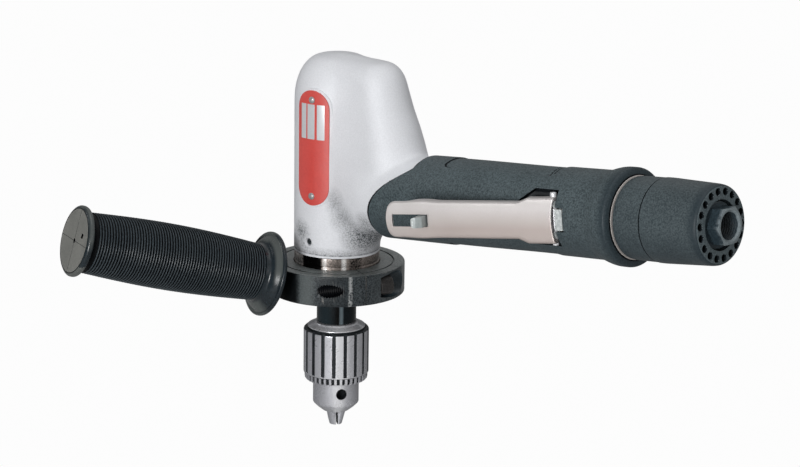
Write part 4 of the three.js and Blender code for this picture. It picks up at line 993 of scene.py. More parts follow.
# painted light: a lighter copy of the chuck's steel for its upward cone
LIT_CONE_STEEL = Finish(
    "lit_turned_cone", Slot.STEEL, (0.82, 0.825, 0.86), (0.64, 0.645, 0.68), 0.45, (0.22, 0.34),
    2600.0, 70.0, 0.25, 0.25, 0.004, streak=(60.0, 60.0, 5200.0), streak_relief=0.012,
    shade=chuck_shade,
)
CHUCK_STEEL = Finish(
    "drawn_steel", Slot.STEEL, (0.58, 0.585, 0.62), (0.44, 0.445, 0.475), 0.45, (0.26, 0.38),
    2600.0, 70.0, 0.25, 0.25, 0.004, streak=(60.0, 60.0, 5200.0), streak_relief=0.012,
    shade=chuck_shade,
)
BLACK_OXIDE = Finish(
    "black_oxide", Slot.BLACK, (0.062, 0.072, 0.078), (0.006, 0.008, 0.010), 0.0, (0.36, 0.48),
    1150.0, 75.0, 0.9, 0.2, 0.03, specular=0.3,
)
# painted light: the collar's black, lighter on its top face
LIT_COLLAR_TOP = Finish(
    "lit_black_top", Slot.BLACK, (0.215, 0.235, 0.232), (0.055, 0.064, 0.066), 0.0, (0.3, 0.42),
    1150.0, 60.0, 0.8, 0.3, 0.02, specular=0.3,
)
# painted light: the collar's black, lighter and bluer on the pocket's lit wall
LIT_POCKET_WALL = Finish(
    "lit_pocket_black", Slot.BLACK, (0.032, 0.052, 0.063), (0.010, 0.017, 0.022), 0.0, (0.3, 0.42),
    1150.0, 75.0, 0.7, 0.3, 0.02, specular=0.4,
)
SCREW_BLACK = Finish(
    "screw_black", Slot.BLACK, (0.040, 0.037, 0.036), (0.010, 0.010, 0.010), 0.0, (0.34, 0.44),
    1150.0, 75.0, 0.8, 0.2, 0.02, worn=(0.30, 0.28, 0.26), worn_from=(0.52, 0.58), specular=0.3,
)
COLLAR_BLACK = Finish(
    "oiled_black", Slot.BLACK, (0.070, 0.082, 0.088), (0.006, 0.008, 0.010), 0.0, (0.34, 0.46),
    1150.0, 75.0, 0.9, 0.2, 0.03, worn=(0.20, 0.195, 0.185), worn_from=(0.54, 0.62),
    shade=collar_shade, specular=0.2,
)
BLACK_GLOSS = Finish(
    "polished_black", Slot.BLACK, (0.006, 0.010, 0.012), (0.001, 0.002, 0.003), 0.0, (0.2, 0.3),
    1100.0, 90.0, 0.6, 0.3, 0.004, shade=nose_shade, specular=0.15,
)
MOULDED = Finish(
    "moulded_black", Slot.GLOSS, (0.016, 0.024, 0.030), (0.005, 0.008, 0.010), 0.0, (0.2, 0.3),
    700.0, 60.0, 0.5, 0.4, 0.008, shade=flange_shade, specular=0.4,
)
# painted highlight: the handle's black, lighter on the rib crests
LIT_RIB_CREST = Finish(
    "lit_rib_crest", Slot.GLOSS, (0.046, 0.058, 0.066), (0.018, 0.024, 0.029), 0.0, (0.34, 0.44),
    900.0, 60.0, 0.6, 0.3, 0.01, specular=0.25,
)
# painted reflection: a grey sheen on the lower part of the far rim
PAINTED_RIM_SHEEN = Finish(
    "painted_rim_sheen", Slot.GLOSS, (0.105, 0.112, 0.106), (0.060, 0.066, 0.064), 0.0, (0.3, 0.4),
    900.0, 60.0, 0.5, 0.4, 0.01, specular=0.4,
)
# painted shade: black darkened in grooves, holes and hollows
SHADED_MOULDING = Finish(
    "shaded_black_moulding", Slot.GLOSS, (0.003, 0.004, 0.005), (0.001, 0.001, 0.002), 0.0, (0.4, 0.5),
    900.0, 60.0, 0.5, 0.4, 0.01, specular=0.08,
)
MOULDED_END = Finish(
    "matt_end_disc", Slot.GLOSS, (0.20, 0.20, 0.185), (0.125, 0.128, 0.120), 0.0, (0.42, 0.52),
    1100.0, 70.0, 0.35, 0.5, 0.01, specular=0.5,
)
COMPOSITE = Finish(
    "slate_composite", Slot.GRIP, (0.090, 0.117, 0.127), (0.022, 0.032, 0.036), 0.0, (0.5, 0.62),
    1100.0, 40.0, 0.8, 0.2, 0.06, worn=(0.12, 0.15, 0.17), worn_from=(0.54, 0.62), shade=grip_shade,
    specular=0.3,
)
# painted shade: the grip darkened in its front gap, grooves, pocket and inner end face
COMPOSITE_SHADE = Finish(
    "shaded_composite", Slot.GRIP, (0.006, 0.008, 0.010), (0.002, 0.003, 0.004), 0.0, (0.6, 0.75),
    1100.0, 40.0, 0.6, 0.2, 0.04, specular=0.1,
)
MUFFLER_PAINT = Finish(
    "slate_paint", Slot.MUFFLER, (0.076, 0.098, 0.106), (0.020, 0.029, 0.034), 0.0, (0.46, 0.58),
    1200.0, 50.0, 0.8, 0.2, 0.045, worn=(0.12, 0.15, 0.17), worn_from=(0.53, 0.6),
    shade=muffler_shade, specular=0.3,
)
# painted light: the cap's paint, lighter on its end face
LIT_END_PAINT = Finish(
    "lit_end_face_paint", Slot.MUFFLER, (0.110, 0.138, 0.150), (0.038, 0.052, 0.058), 0.0, (0.46, 0.58),
    1200.0, 50.0, 0.8, 0.2, 0.045, specular=0.3,
)
INLET_DARK = Finish(
    "inlet_blued", Slot.MUFFLER, (0.030, 0.047, 0.058), (0.009, 0.015, 0.020), 0.0, (0.36, 0.48),
    1200.0, 50.0, 0.8, 0.2, 0.03, worn=(0.24, 0.28, 0.30), worn_from=(0.515, 0.56), specular=0.35,
)
INLET_FACE = Finish(
    "inlet_face", Slot.MUFFLER, (0.20, 0.235, 0.25), (0.10, 0.125, 0.135), 0.0, (0.36, 0.48),
    1200.0, 50.0, 0.6, 0.3, 0.02, specular=0.4,
)
LEVER_STEEL = Finish(
    "satin_stainless", Slot.LEVER, (0.53, 0.505, 0.498), (0.45, 0.425, 0.418), 0.45, (0.38, 0.48),
    1700.0, 55.0, 0.3, 0.35, 0.006, streak=(260.0, 2400.0, 2400.0), streak_relief=0.006,
    worn=(0.72, 0.70, 0.68), worn_from=(0.54, 0.62), shade=lever_shade,
)
PALE = Finish(
    "pale_moulding", Slot.PALE, (0.46, 0.495, 0.495), (0.37, 0.405, 0.405), 0.1, (0.36, 0.48),
    1300.0, 120.0, 0.4, 0.4, 0.015, worn=(0.75, 0.79, 0.78), worn_from=(0.53, 0.6),
)
# painted shade: the pale moulding, darker on the nub's body
PALE_SHADED = Finish(
    "shaded_pale_moulding", Slot.PALE, (0.36, 0.395, 0.395), (0.26, 0.29, 0.29), 0.1, (0.4, 0.52),
    1300.0, 120.0, 0.5, 0.4, 0.015,
)
# painted shade: the paint darkened in holes, gaps and seams
MUFFLER_SHADED = Finish(
    "shaded_slate_paint", Slot.MUFFLER, (0.008, 0.012, 0.015), (0.002, 0.003, 0.004), 0.0, (0.6, 0.7),
    1200.0, 60.0, 0.6, 0.3, 0.02, specular=0.1,
)
RUBBER = Finish(
    "seal_black", Slot.RUBBER, (0.028, 0.028, 0.03), (0.014, 0.014, 0.015), 0.0, (0.5, 0.62),
    1500.0, 90.0, 0.5, 0.4, 0.02,
)
BRASS = Finish(
    "turned_brass", Slot.BRASS, (0.62, 0.44, 0.20), (0.46, 0.31, 0.13), 1.0, (0.26, 0.4),
    2000.0, 90.0, 0.35, 0.4, 0.008, streak=(2600.0, 60.0, 60.0), streak_relief=0.01,
)
FIBRE = Finish(
    "laminated_fibre", Slot.VANE, (0.30, 0.22, 0.13), (0.20, 0.14, 0.08), 0.0, (0.6, 0.72),
    1600.0, 90.0, 0.5, 0.4, 0.03, streak=(900.0, 900.0, 120.0), streak_relief=0.02,
)
FELT = Finish(
    "wool_felt", Slot.FELT, (0.42, 0.40, 0.36), (0.26, 0.25, 0.22), 0.0, (0.85, 0.95), 1200.0,
    140.0, 0.7, 0.3, 0.2,
)

NODE_FINISHES: dict[Slot, Finish] = {
    Slot.CAST: PLAIN_CAST,
    Slot.LABEL: ENAMEL_RED,
    Slot.STEEL: BRIGHT_STEEL,
    Slot.NICKEL: NICKEL,
    Slot.BLACK: BLACK_OXIDE,
    Slot.LEVER: LEVER_STEEL,
    Slot.RUBBER: RUBBER,
    Slot.GLOSS: MOULDED,
    Slot.GRIP: COMPOSITE,
    Slot.MUFFLER: MUFFLER_PAINT,
    Slot.PALE: PALE,
    Slot.VANE: FIBRE,
    Slot.BRASS: BRASS,
    Slot.FELT: FELT,
}


@dataclass
class SubAssembly:
    """What every sub-assembly shares: its finishes' effects and how a piece is finished off."""

    effects: SurfaceEffects
    made: list[bpy.types.Object] = field(default_factory=list, init=False)

    def finish_piece(
        self,
        piece: bpy.types.Object,
        finishes: Sequence[Finish],
        body: Body,
        nodes: Sequence[str] = (),
        crease: float = 32.0,
    ) -> bpy.types.Object:
        """Gives a piece its finishes, its shading, its body and the nodes that it stands for.

        Args:
            piece: the piece.
            finishes: its finishes, in the order of its faces' finish numbers.
            body: the body that it moves with.
            nodes: the CAD nodes that it stands for.
            crease: the angle over which an edge looks sharp, in degrees.

        Returns:
            The piece.
        """
        numbers = np.zeros(len(piece.data.polygons), dtype=np.int32)
        piece.data.polygons.foreach_get("material_index", numbers)
        piece.data.materials.clear()
        for finish in finishes:
            piece.data.materials.append(finish.material(self.effects))
        piece.data.polygons.foreach_set("material_index", np.minimum(numbers, len(finishes) - 1))
        piece.data.shade_smooth()
        piece.data.set_sharp_from_angle(angle=math.radians(crease))
        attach(piece, body.value)
        if nodes:
            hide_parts(*nodes)
        self.made.append(piece)
        return piece

    def build(self) -> list[bpy.types.Object]:
        """Builds and dresses the sub-assembly's pieces."""
        raise NotImplementedError


@dataclass
class HandleFrame:
    """Where the rear handle's own axes are: X runs back along its axis from the spindle."""

    tilt: float = 6.48

    @property
    def place(self) -> Matrix:
        """From the handle's axes to the frame's."""
        return turn("Y", -self.tilt)

    @property
    def turned(self) -> Matrix:
        """From a piece turned about Z to the handle's axis."""
        return self.place @ turn("Y", 90)


@dataclass
class Saddle:
    """The grip's curved front edge, by the angle from the handle's top."""

    top: float = 73.0
    bottom: float = 43.4
    flat: float = 33.0
    fall: float = 38.0
    power: float = 1.6

    def at(self, angle: float) -> float:
        """How far along the handle the edge is at an angle in radians."""
        from_top = abs(math.degrees(math.atan2(math.sin(angle), math.cos(angle))))
        past = max(0.0, from_top - self.flat) / self.fall
        return self.bottom + (self.top - self.bottom) * math.exp(-(past**self.power))


@dataclass
class HeadHousing(SubAssembly):
    """The cast housing: a round tower, the ridge behind it and the neck of the rear handle."""

    radius: float = 23.7
    top: float = 76.0
    bottom: float = -33.0
    dome_rise: float = 24.0
    dome_inset: float = 15.0
    crown_rise: float = 1.25
    ridge_reach: float = 62.0
    ridge_half_width: float = 20.0
    corner_rise: float = 10.0
    corner_inset: float = 9.0
    blend: float = 2.0
    wide_blend: float = 5.0
    blend_angles: Corner = (32.0, 56.0)
    foot: float = 12.0
    neck_radius: float = 22.1
    neck_reach: float = 42.2
    neck_waist: Corner = (0.6, 0.52)
    fillet_reach: float = 25.0
    fillet_top: float = -5.0
    stub_radius: float = 18.4
    saddle_gap: float = 0.9
    columns: int = 150
    voxel: float = 0.85
    smoothing: int = 40
    pad_angle: float = -77.6
    pad_half_angle: float = 26.2
    pad_radius: float = 24.3
    pad_height: float = 65.4
    pad_centre: float = 28.0
    hole_angle: float = -86.0
    hole_height: float = -25.1
    hole_radius: float = 1.9
    bore_radius: float = 21.5
    bore_top: float = 47.0
    shares: tuple[RoundedCorner, ...] = (
        (0, 0.3, 0.3), (0.21, 0.3, 0.5), (0.33, 0.86, 0.92), (0.46, 0.995, 0.96), (0.53, 1, 0.95),
        (0.615, 0.952, 0.9),
        (0.69, 0.9, 0.85), (0.775, 0.83, 0.79), (0.86, 0.775, 0.74), (0.935, 0.727, 0.7),
        (1, 0.7, 0.66),
    )

    def _ridge_at(self, height: float) -> Corner:
        """The ridge's reach and half width at a height."""
        share = (height - self.bottom) / (self.top - self.bottom)
        at, reach, width = (np.array(column, float) for column in zip(*self.shares))
        return (
            float(np.interp(share, at, reach)) * self.ridge_reach,
            float(np.interp(share, at, width)) * self.ridge_half_width,
        )

    def _drawn_in(self, height: float, rise: float, inset: float) -> float:
        """How far a rounded top edge has drawn in at a height."""
        climb = min(1.0, max(0.0, (height - (self.top - rise)) / rise))
        return inset * (1 - math.sqrt(max(0.0, 1 - climb * climb)))

    @staticmethod
    def _ridge_outline(angle: float, reach: float, half_width: float) -> float:
        """Distance from the spindle's axis to the ridge's outline."""
        centre = max(0.0, reach - half_width)
        sine, cosine = abs(math.sin(angle)), math.cos(angle)
        if cosine <= 0:
            return 0.0
        if math.atan2(sine, cosine) < math.atan2(half_width, centre):
            return centre * cosine + math.sqrt(max(0.0, half_width**2 - (centre * sine) ** 2))
        return half_width / sine

    def _neck_outline(self, angle: float, height: float, lean: float) -> float:
        """Distance from the spindle's axis to the neck's skin."""
        sine, cosine = abs(math.sin(angle)), math.cos(angle)
        radius = self.neck_radius * (1 - self.neck_waist[0] * max(0.0, sine - self.neck_waist[1]))
        level = height * math.cos(lean)
        if cosine <= 0 or abs(level) >= radius:
            return 0.0
        spread = sine * sine + (cosine * math.sin(lean)) ** 2
        slant = level * cosine * math.sin(lean)
        reach = (
            slant + math.sqrt(slant * slant + spread * (radius * radius - level * level))
        ) / spread
        return min(reach, self.neck_reach / cosine)

    @staticmethod
    def _larger(first: float, second: float, blend: float) -> float:
        """The larger of two lengths, filleted where they are nearly equal."""
        gap = max(0.0, 2 * blend - abs(first - second))
        return max(first, second) + gap * gap / (8 * blend)

    def _section(self, height: float, lean: float) -> list[Vector]:
        """The housing's outline at one height."""
        reach, half_width = self._ridge_at(max(height, self.bottom))
        round_part = self.radius - self._drawn_in(height, self.dome_rise, self.dome_inset)
        corner = self._drawn_in(height, self.corner_rise, self.corner_inset)
        ring = []
        for i in range(self.columns):
            step = i / self.columns * FULL_TURN
            angle = step - 0.5 * math.sin(step)
            ridge = self._ridge_outline(angle, reach - corner, half_width - corner)
            start, end = self.blend_angles
            from_back = abs(math.degrees(math.atan2(math.sin(angle), math.cos(angle))))
            blend = self.blend + (self.wide_blend - self.blend) * eased(
                (end - from_back) / (end - start)
            )
            sides = self._larger(round_part, ridge, blend)
            skin_at = self._larger(sides, self._neck_outline(angle, height, lean), blend)
            climb = min(1.0, max(0.0, (height - self.bottom) / (self.fillet_top - self.bottom)))
            fillet = self.fillet_reach * climb**1.5 * max(
                0.0, math.cos(angle)
            ) ** 6 if height <= self.fillet_top else 0.0
            radius = max(skin_at, min(round_part + fillet, self.neck_reach))
            ring.append(Vector((radius * math.cos(angle), radius * math.sin(angle), height)))
        return ring

    def _tower(self, lean: float) -> Draft:
        """The tower with its ridge, closed by a low crown."""
        straight = np.linspace(self.bottom - self.foot, self.top - self.dome_rise, 96)
        curved = self.top - self.dome_rise + self.dome_rise * np.sin(
            np.linspace(0, 1, 34) * math.pi / 2
        )
        rings = [self._section(float(height), lean) for height in [*straight, *curved[1:]]]
        last = rings[-1]
        centre = sum(last, Vector()) / len(last)
        for share in (0.85, 0.65, 0.45, 0.25, 0.1):
            rise = self.crown_rise * (1 - share * share)
            rings.append([centre + (c - centre) * share + Vector((0, 0, rise)) for c in last])
        return skin(rings)

    def _saddle_tool(self, saddle: Saddle) -> Draft:
        """What clears the housing away behind the grip's front edge."""
        rings = []
        for radius, station in (
            (self.stub_radius, None), (27.0, None), (27.0, 120.0), (self.stub_radius, 120.0)
        ):
            ring = []
            for i in range(96):
                angle = i / 96 * FULL_TURN
                x = saddle.at(angle) - self.saddle_gap if station is None else station
                ring.append(Vector((x, -radius * math.sin(angle), radius * math.cos(angle))))
            rings.append(ring)
        return skin(rings, looped=True)

    def _in_saddle(self, point: Vector) -> bool:
        """Whether a point in the handle's axes lies on the stub or the wall facing the grip."""
        edge = Saddle().at(math.atan2(-point.y, point.z)) - self.saddle_gap
        reach = math.hypot(point.y, point.z)
        return point.x > edge - 0.05 and reach < self.neck_radius + 2 or (
            point.x > 60 and reach < self.stub_radius + 0.1
        )

    def _pad(self) -> Draft:
        """The raised seat of the name plate, wrapped on the tower."""
        return wrapped_plate(
            WrappedPlate(
                self.pad_angle, self.pad_half_angle, self.pad_height, self.pad_centre, 22.6,
                self.pad_radius, 0.35
            )
        )

    def build(self) -> list[bpy.types.Object]:
        """Builds the housing as one smooth casting, and its pad, hole and bore."""
        handle, saddle = HandleFrame(), Saddle()
        housing = raw_object("housing_casting", self._tower(math.radians(handle.tilt)))
        neck = rod(self.neck_radius, 34.0, 90.0, 96)
        shape(housing, [neck], handle.turned, Shaping.ON)
        remesh = housing.modifiers.new("remesh", "REMESH")
        remesh.mode = "VOXEL"
        remesh.voxel_size = self.voxel * MILLIMETRE
        smooth = housing.modifiers.new("smooth", "SMOOTH")
        smooth.factor = 0.5
        smooth.iterations = self.smoothing
        swell = housing.modifiers.new("swell", "DISPLACE")
        swell.mid_level = 0.0
        swell.strength = 0.15 * MILLIMETRE
        settle(housing)
        shape(housing, [slab((-60, 120), (-60, 60), (self.bottom - 2 * self.foot, self.bottom))])
        shape(housing, [self._saddle_tool(saddle)], handle.place)
        bore = [(0, self.bottom - 6, 0), (self.bore_radius, self.bottom - 6, 0),
                (self.bore_radius, -20.6, 0),
                (20, -20.6, 0), (20, self.bore_top, 0), (13, self.bore_top, 0), (13, 55, 3),
                (6, 62, 2), (0, 62, 0)]
        hole = lathe(
            [
                (0, 19), (self.hole_radius, 19), (self.hole_radius, 23.0),
                (self.hole_radius + 0.9, 24.2), (0, 24.2)
            ],
            32
        )
        shape(housing, [lathe(softened(bore), 96)])
        shape(
            housing, [hole],
            turn("Z", self.hole_angle) @ shift(0, 0, self.hole_height) @ turn("Y", 90)
        )
        # painted shade on the stub and the wall in the gap behind the grip
        paint(housing, 1, self._in_saddle, handle.place)
        self.finish_piece(housing, [CAST_FINISH, DARK_CAST], Body.DRILL, ["head_housing"], 38)
        pad = raw_object("plate_pad", self._pad())
        self.finish_piece(pad, [CAST_FINISH], Body.DRILL)
        screw = raw_object("set_screw", rod(1.55, 21.5, 22.9, 32, 0.2), None)
        shape(screw, [rod(0.85, 22.0, 24.0, 6)])
        screw.data.transform(
            turn("Z", self.hole_angle) @ shift(0, 0, self.hole_height * MILLIMETRE) @ turn("Y", 90)
        )
        self.finish_piece(screw, [BLACK_OXIDE], Body.DRILL, ["lock_set_screw"])
        return self.made


@dataclass(frozen=True)
class WrappedPlate:
    """The outline and place of a plate with round ends, wrapped on a cylinder about Z."""

    angle: float
    half_angle: float
    height: float
    centre: float
    inner: float
    outer: float
    edge: float


def wrapped_plate(
    plate: WrappedPlate, finish_at: Callable[[float, float], int] | None = None
) -> Draft:
    """Builds a wrapped plate as a fine skin with an eased edge.

    Args:
        plate: its outline and place.
        finish_at: the finish number at an angle in degrees and a height.

    Returns:
        The plate.
    """
    half = math.radians(plate.half_angle) * plate.outer
    straight = plate.height / 2 - half
    outline = []
    for side in (1, -1):
        for i in range(29):
            turned_by = math.pi * i / 28 + (0 if side > 0 else math.pi)
            outline.append(
                (half * math.cos(turned_by), side * straight + half * math.sin(turned_by))
            )
    rings: list[list[Vector]] = []

    def ring(inset: float, radius: float) -> list[Vector]:
        """The outline drawn in by an inset, laid at a radius."""
        corners = []
        for x, y in outline:
            core = Vector((0.0, max(-straight, min(straight, y))))
            away = Vector((x, y)) - core
            drawn = core + away * ((away.length - inset) / away.length)
            angle = math.radians(plate.angle) + drawn.x / plate.outer
            corners.append(
                Vector((radius * math.cos(angle), radius * math.sin(angle), plate.centre + drawn.y))
            )
        return corners

    rings.append(ring(0, plate.inner))
    for k in range(5):
        t = k / 4 * math.pi / 2
        rings.append(
            ring(plate.edge * (1 - math.cos(t)), plate.outer - plate.edge * (1 - math.sin(t)))
        )
    draft = Draft([corner for r in rings for corner in r])
    count = len(outline)
    for i in range(len(rings) - 1):
        for j in range(count):
            k = (j + 1) % count
            draft.face((i * count + j, i * count + k, (i + 1) * count + k, (i + 1) * count + j))
    top = Draft()
    inset = plate.edge
    columns = [-half + inset + (2 * (half - inset)) * c / 60 for c in range(61)]
    rows = 90
    for x in columns:
        limit = straight + math.sqrt(max(0.0, (half - inset) ** 2 - x * x))
        for r in range(rows + 1):
            y = -limit + 2 * limit * r / rows
            angle = math.radians(plate.angle) + x / plate.outer
            top.corners.append(
                Vector(
                    (plate.outer * math.cos(angle), plate.outer * math.sin(angle), plate.centre + y)
                )
            )
    for c in range(60):
        for r in range(rows):
            a = c * (rows + 1) + r
            middle = sum(
                (top.corners[i] for i in (a, a + 1, a + rows + 1, a + rows + 2)), Vector()
            ) / 4
            number = finish_at(
                math.degrees(math.atan2(middle.y, middle.x)), middle.z
            ) if finish_at else 0
            top.face((a, a + rows + 1, a + rows + 2, a + 1), number)
    draft.add(top)
    draft.face(tuple(range(count)))
    return draft


@dataclass
class NamePlate(SubAssembly):
    """The enamelled plate with three bare fields, and its two domed screws."""

    angle: float = -78.5
    half_angle: float = 23.4
    height: float = 63.6
    centre: float = 28.0
    inner: float = 24.3
    outer: float = 25.1
    screw_offset: float = 26.6
    head_radius: float = 1.9
    field_height: Corner = (33.0, 52.2)
    fields: tuple[Corner, ...] = ((-95.6, -87.3), (-85.3, -74.6), (-71.4, -61.1))

    def _field_piece(self, number: int, limits: Corner) -> None:
        """One bare field, a hair proud of the enamel."""
        low, high = self.field_height
        rings = []
        for radius, inset in (
            (self.outer - 0.2, 0.0), (self.outer + 0.03, 0.0), (self.outer + 0.05, 0.12)
        ):
            ring = []
            start, end = limits[0] + inset, limits[1] - inset
            for k in range(17):
                angle = math.radians(start + (end - start) * k / 16)
                ring.append(
                    Vector((radius * math.cos(angle), radius * math.sin(angle), low + inset))
                )
            for k in range(17):
                angle = math.radians(end + (start - end) * k / 16)
                ring.append(
                    Vector((radius * math.cos(angle), radius * math.sin(angle), high - inset))
                )
            rings.append(ring)
        draft = Draft([corner for ring in rings for corner in ring])
        count = len(rings[0])
        for i in range(2):
            for j in range(count):
                k = (j + 1) % count
                draft.face((i * count + j, i * count + k, (i + 1) * count + k, (i + 1) * count + j))
        for first in (0, 2 * count):
            for k in range(16):
                draft.face((first + k, first + k + 1, first + 33 - k - 1, first + 33 - k))
        piece = raw_object(f"plate_field_{number}", draft)
        self.finish_piece(piece, [ENAMEL_WHITE], Body.DRILL)

    def build(self) -> list[bpy.types.Object]:
        """Builds the plate, its fields and its screws."""
        plate = WrappedPlate(
            self.angle, self.half_angle, self.height, self.centre, self.inner, self.outer, 0.22
        )
        piece = raw_object("enamel_plate", wrapped_plate(plate))
        self.finish_piece(piece, [ENAMEL_RED], Body.DRILL, ["name_plate"])
        for number, limits in enumerate(self.fields, 1):
            self._field_piece(number, limits)
        for node, offset in (
            ("plate_screw_upper", self.screw_offset), ("plate_screw_lower", -self.screw_offset)
        ):
            base = self.outer + 0.05
            dome = [(0, 22.0, 0), (0.9, 22.0, 0), (0.9, base, 0), (self.head_radius, base, 0.15),
                    (self.head_radius, base + 0.25, 0.3),
                    (self.head_radius * 0.62, base + 0.86, 0.7), (0, base + 0.95, 0)]
            place = turn("Z", self.angle) @ shift(0, 0, self.centre + offset) @ turn("Y", 90)
            screw = raw_object(
                node.replace("plate_screw", "plate_dome"), lathe(softened(dome), 48), place
            )
            self.finish_piece(screw, [SCREW_STEEL], Body.DRILL, [node])
        return self.made


@dataclass
class NickelBand(SubAssembly):
    """The gear case, of which a plated band shows between the housing and the collar."""

    radius: float = 23.6
    spigot: float = 21.2
    top: float = -33.3
    rim: float = -20.6
    bottom: float = -57.9
    bore: float = 19.5
    lip: float = 14.6
    lip_rise: float = 3.2

    def build(self) -> list[bpy.types.Object]:
        """Builds the turned case."""
        profile = [
            (self.lip, self.bottom, 0.3), (self.radius, self.bottom, 0.5),
            (self.radius, -38.9, 0.2), (23.25, -38.6, 0.2),
            (23.25, -37.9, 0.2), (self.radius, -37.6, 0.2), (self.radius, self.top, 0.35),
            (self.spigot, self.top, 0),
            (self.spigot, self.rim, 0.3), (self.bore, self.rim, 0.3),
            (self.bore, self.bottom + self.lip_rise, 0),
            (self.lip, self.bottom + self.lip_rise, 0),
        ]
        piece = raw_object("nickel_case", lathe(softened(profile, 4, True), 160, True))
        self.finish_piece(piece, [NICKEL], Body.DRILL, ["gear_case"])
        return self.made


@dataclass
class ClampCollar(SubAssembly):
    """The split collar and the screw that draws it together."""

    radius: float = 37.7
    bore: float = 23.9
    top: float = -39.5
    bottom: float = -56.5
    groove: Corner = (31.0, 31.9)
    groove_depth: float = 1.0
    split_angle: float = -19.3
    split_width: float = 0.3
    chord: float = 32.0
    pocket_radius: float = 7.1
    chord_rise: float = 0.4
    seat: float = 9.6
    shank_hole: float = 3.6
    head_radius: float = 5.3
    head_length: float = 7.4
    socket_radius: float = 2.9

    @property
    def middle(self) -> float:
        """The collar's middle height."""
        return (self.top + self.bottom) / 2

    @property
    def chord_place(self) -> Matrix:
        """From a bar along Z to the screw's chord."""
        return turn("Z", self.split_angle) @ shift(
            self.chord, 0, self.middle + self.chord_rise
        ) @ turn("X", -90)

    def _thread(self, radius: float, depth: float, pitch: float, low: float, high: float) -> Draft:
        """A tool with the ridges of an inside thread."""
        line: list[Corner] = [(0, low), (radius, low)]
        station = low
        while station + pitch < high:
            line += [
                (radius, station + 0.1 * pitch), (radius + depth, station + 0.5 * pitch),
                (radius, station + 0.9 * pitch)
            ]
            station += pitch
        line += [(radius, high), (0, high)]
        return lathe(line, 40)

    def build(self) -> list[bpy.types.Object]:
        """Builds the collar and its screw."""
        inner, outer = self.groove
        profile = [
            (self.bore, self.bottom, 0.5), (self.radius, self.bottom, 0.9),
            (self.radius, self.top, 0.9), (outer, self.top, 0.25),
            (outer, self.top - self.groove_depth, 0), (inner, self.top - self.groove_depth, 0),
            (inner, self.top, 0.25),
            (self.bore, self.top, 0.5),
        ]
        collar = raw_object("split_collar", lathe(softened(profile, 5, True), 192, True))
        split = slab(
            (0, self.radius + 6), (-self.split_width / 2, self.split_width / 2),
            (self.bottom - 6, self.top + 6)
        )
        shape(collar, [split], turn("Z", self.split_angle))
        pocket = lathe(
            [(0, self.seat), (self.pocket_radius, self.seat), (self.pocket_radius, 30), (0, 30)], 64
        )
        shape(
            collar, [pocket, self._thread(self.shank_hole - 0.1, 0.45, 1.25, -40.0, 6.0)],
            self.chord_place
        )
        stud = turn("Z", 252) @ shift(0, 0, -55) @ turn("Y", -15.8) @ turn("Y", 90)
        shape(collar, [rod(5.3, 27.2, 44, 48)], stud)
        # painted light on the top face
        paint(collar, 2, lambda point: point.z > self.top - 0.12)
        # painted shade down the pocket and the open thread
        paint(collar, 1, self._in_hollows, self.chord_place)
        # painted light on the pocket's wall
        paint(collar, 3, self._in_pocket, self.chord_place)
        # painted shade at the pocket's outer edge
        paint(collar, 1, self._on_pocket_edge, self.chord_place)
        self.finish_piece(
            collar, [COLLAR_BLACK, SHADED_MOULDING, LIT_COLLAR_TOP, LIT_POCKET_WALL], Body.COLLAR,
            ["clamp_collar"]
        )
        start = self.seat + 0.3
        end = start + self.head_length
        head = [(0, -8.5, 0), (2.9, -8.5, 0.6), (2.9, start, 0), (self.head_radius, start, 0.3),
                (self.head_radius, end, 0.6), (0, end, 0)]
        screw = raw_object("collar_screw", lathe(softened(head), 96), self.chord_place)
        shape(screw, [rod(self.socket_radius, end - 3.2, end + 4, 6)], self.chord_place)
        self.finish_piece(screw, [SCREW_BLACK], Body.COLLAR, ["clamp_screw"])
        return self.made

    def _in_pocket(self, point: Vector) -> bool:
        """Whether a point in the screw's axes lies on the pocket's wall."""
        return self._in_hollows(point) and self.pocket_radius - 0.3 < math.hypot(
            point.x, point.y
        ) and point.z > self.seat + 0.4

    def _on_pocket_edge(self, point: Vector) -> bool:
        """Whether a point in the screw's axes lies on the pocket's outer edge."""
        if not self._in_pocket(point):
            return False
        from_spindle = self.chord_place @ point
        return math.hypot(from_spindle.x, from_spindle.y) > self.radius - 1.1

    def _in_hollows(self, point: Vector) -> bool:
        """Whether a point in the screw's axes lies down its pocket or in the open thread."""
        reach = math.hypot(point.x, point.y)
        from_spindle = self.chord_place @ point
        if math.hypot(from_spindle.x, from_spindle.y) > self.radius - 0.12:
            return False
        return reach < self.shank_hole + 0.5 or (
            reach < self.pocket_radius + 0.1 and point.z > self.seat - 0.1
        )


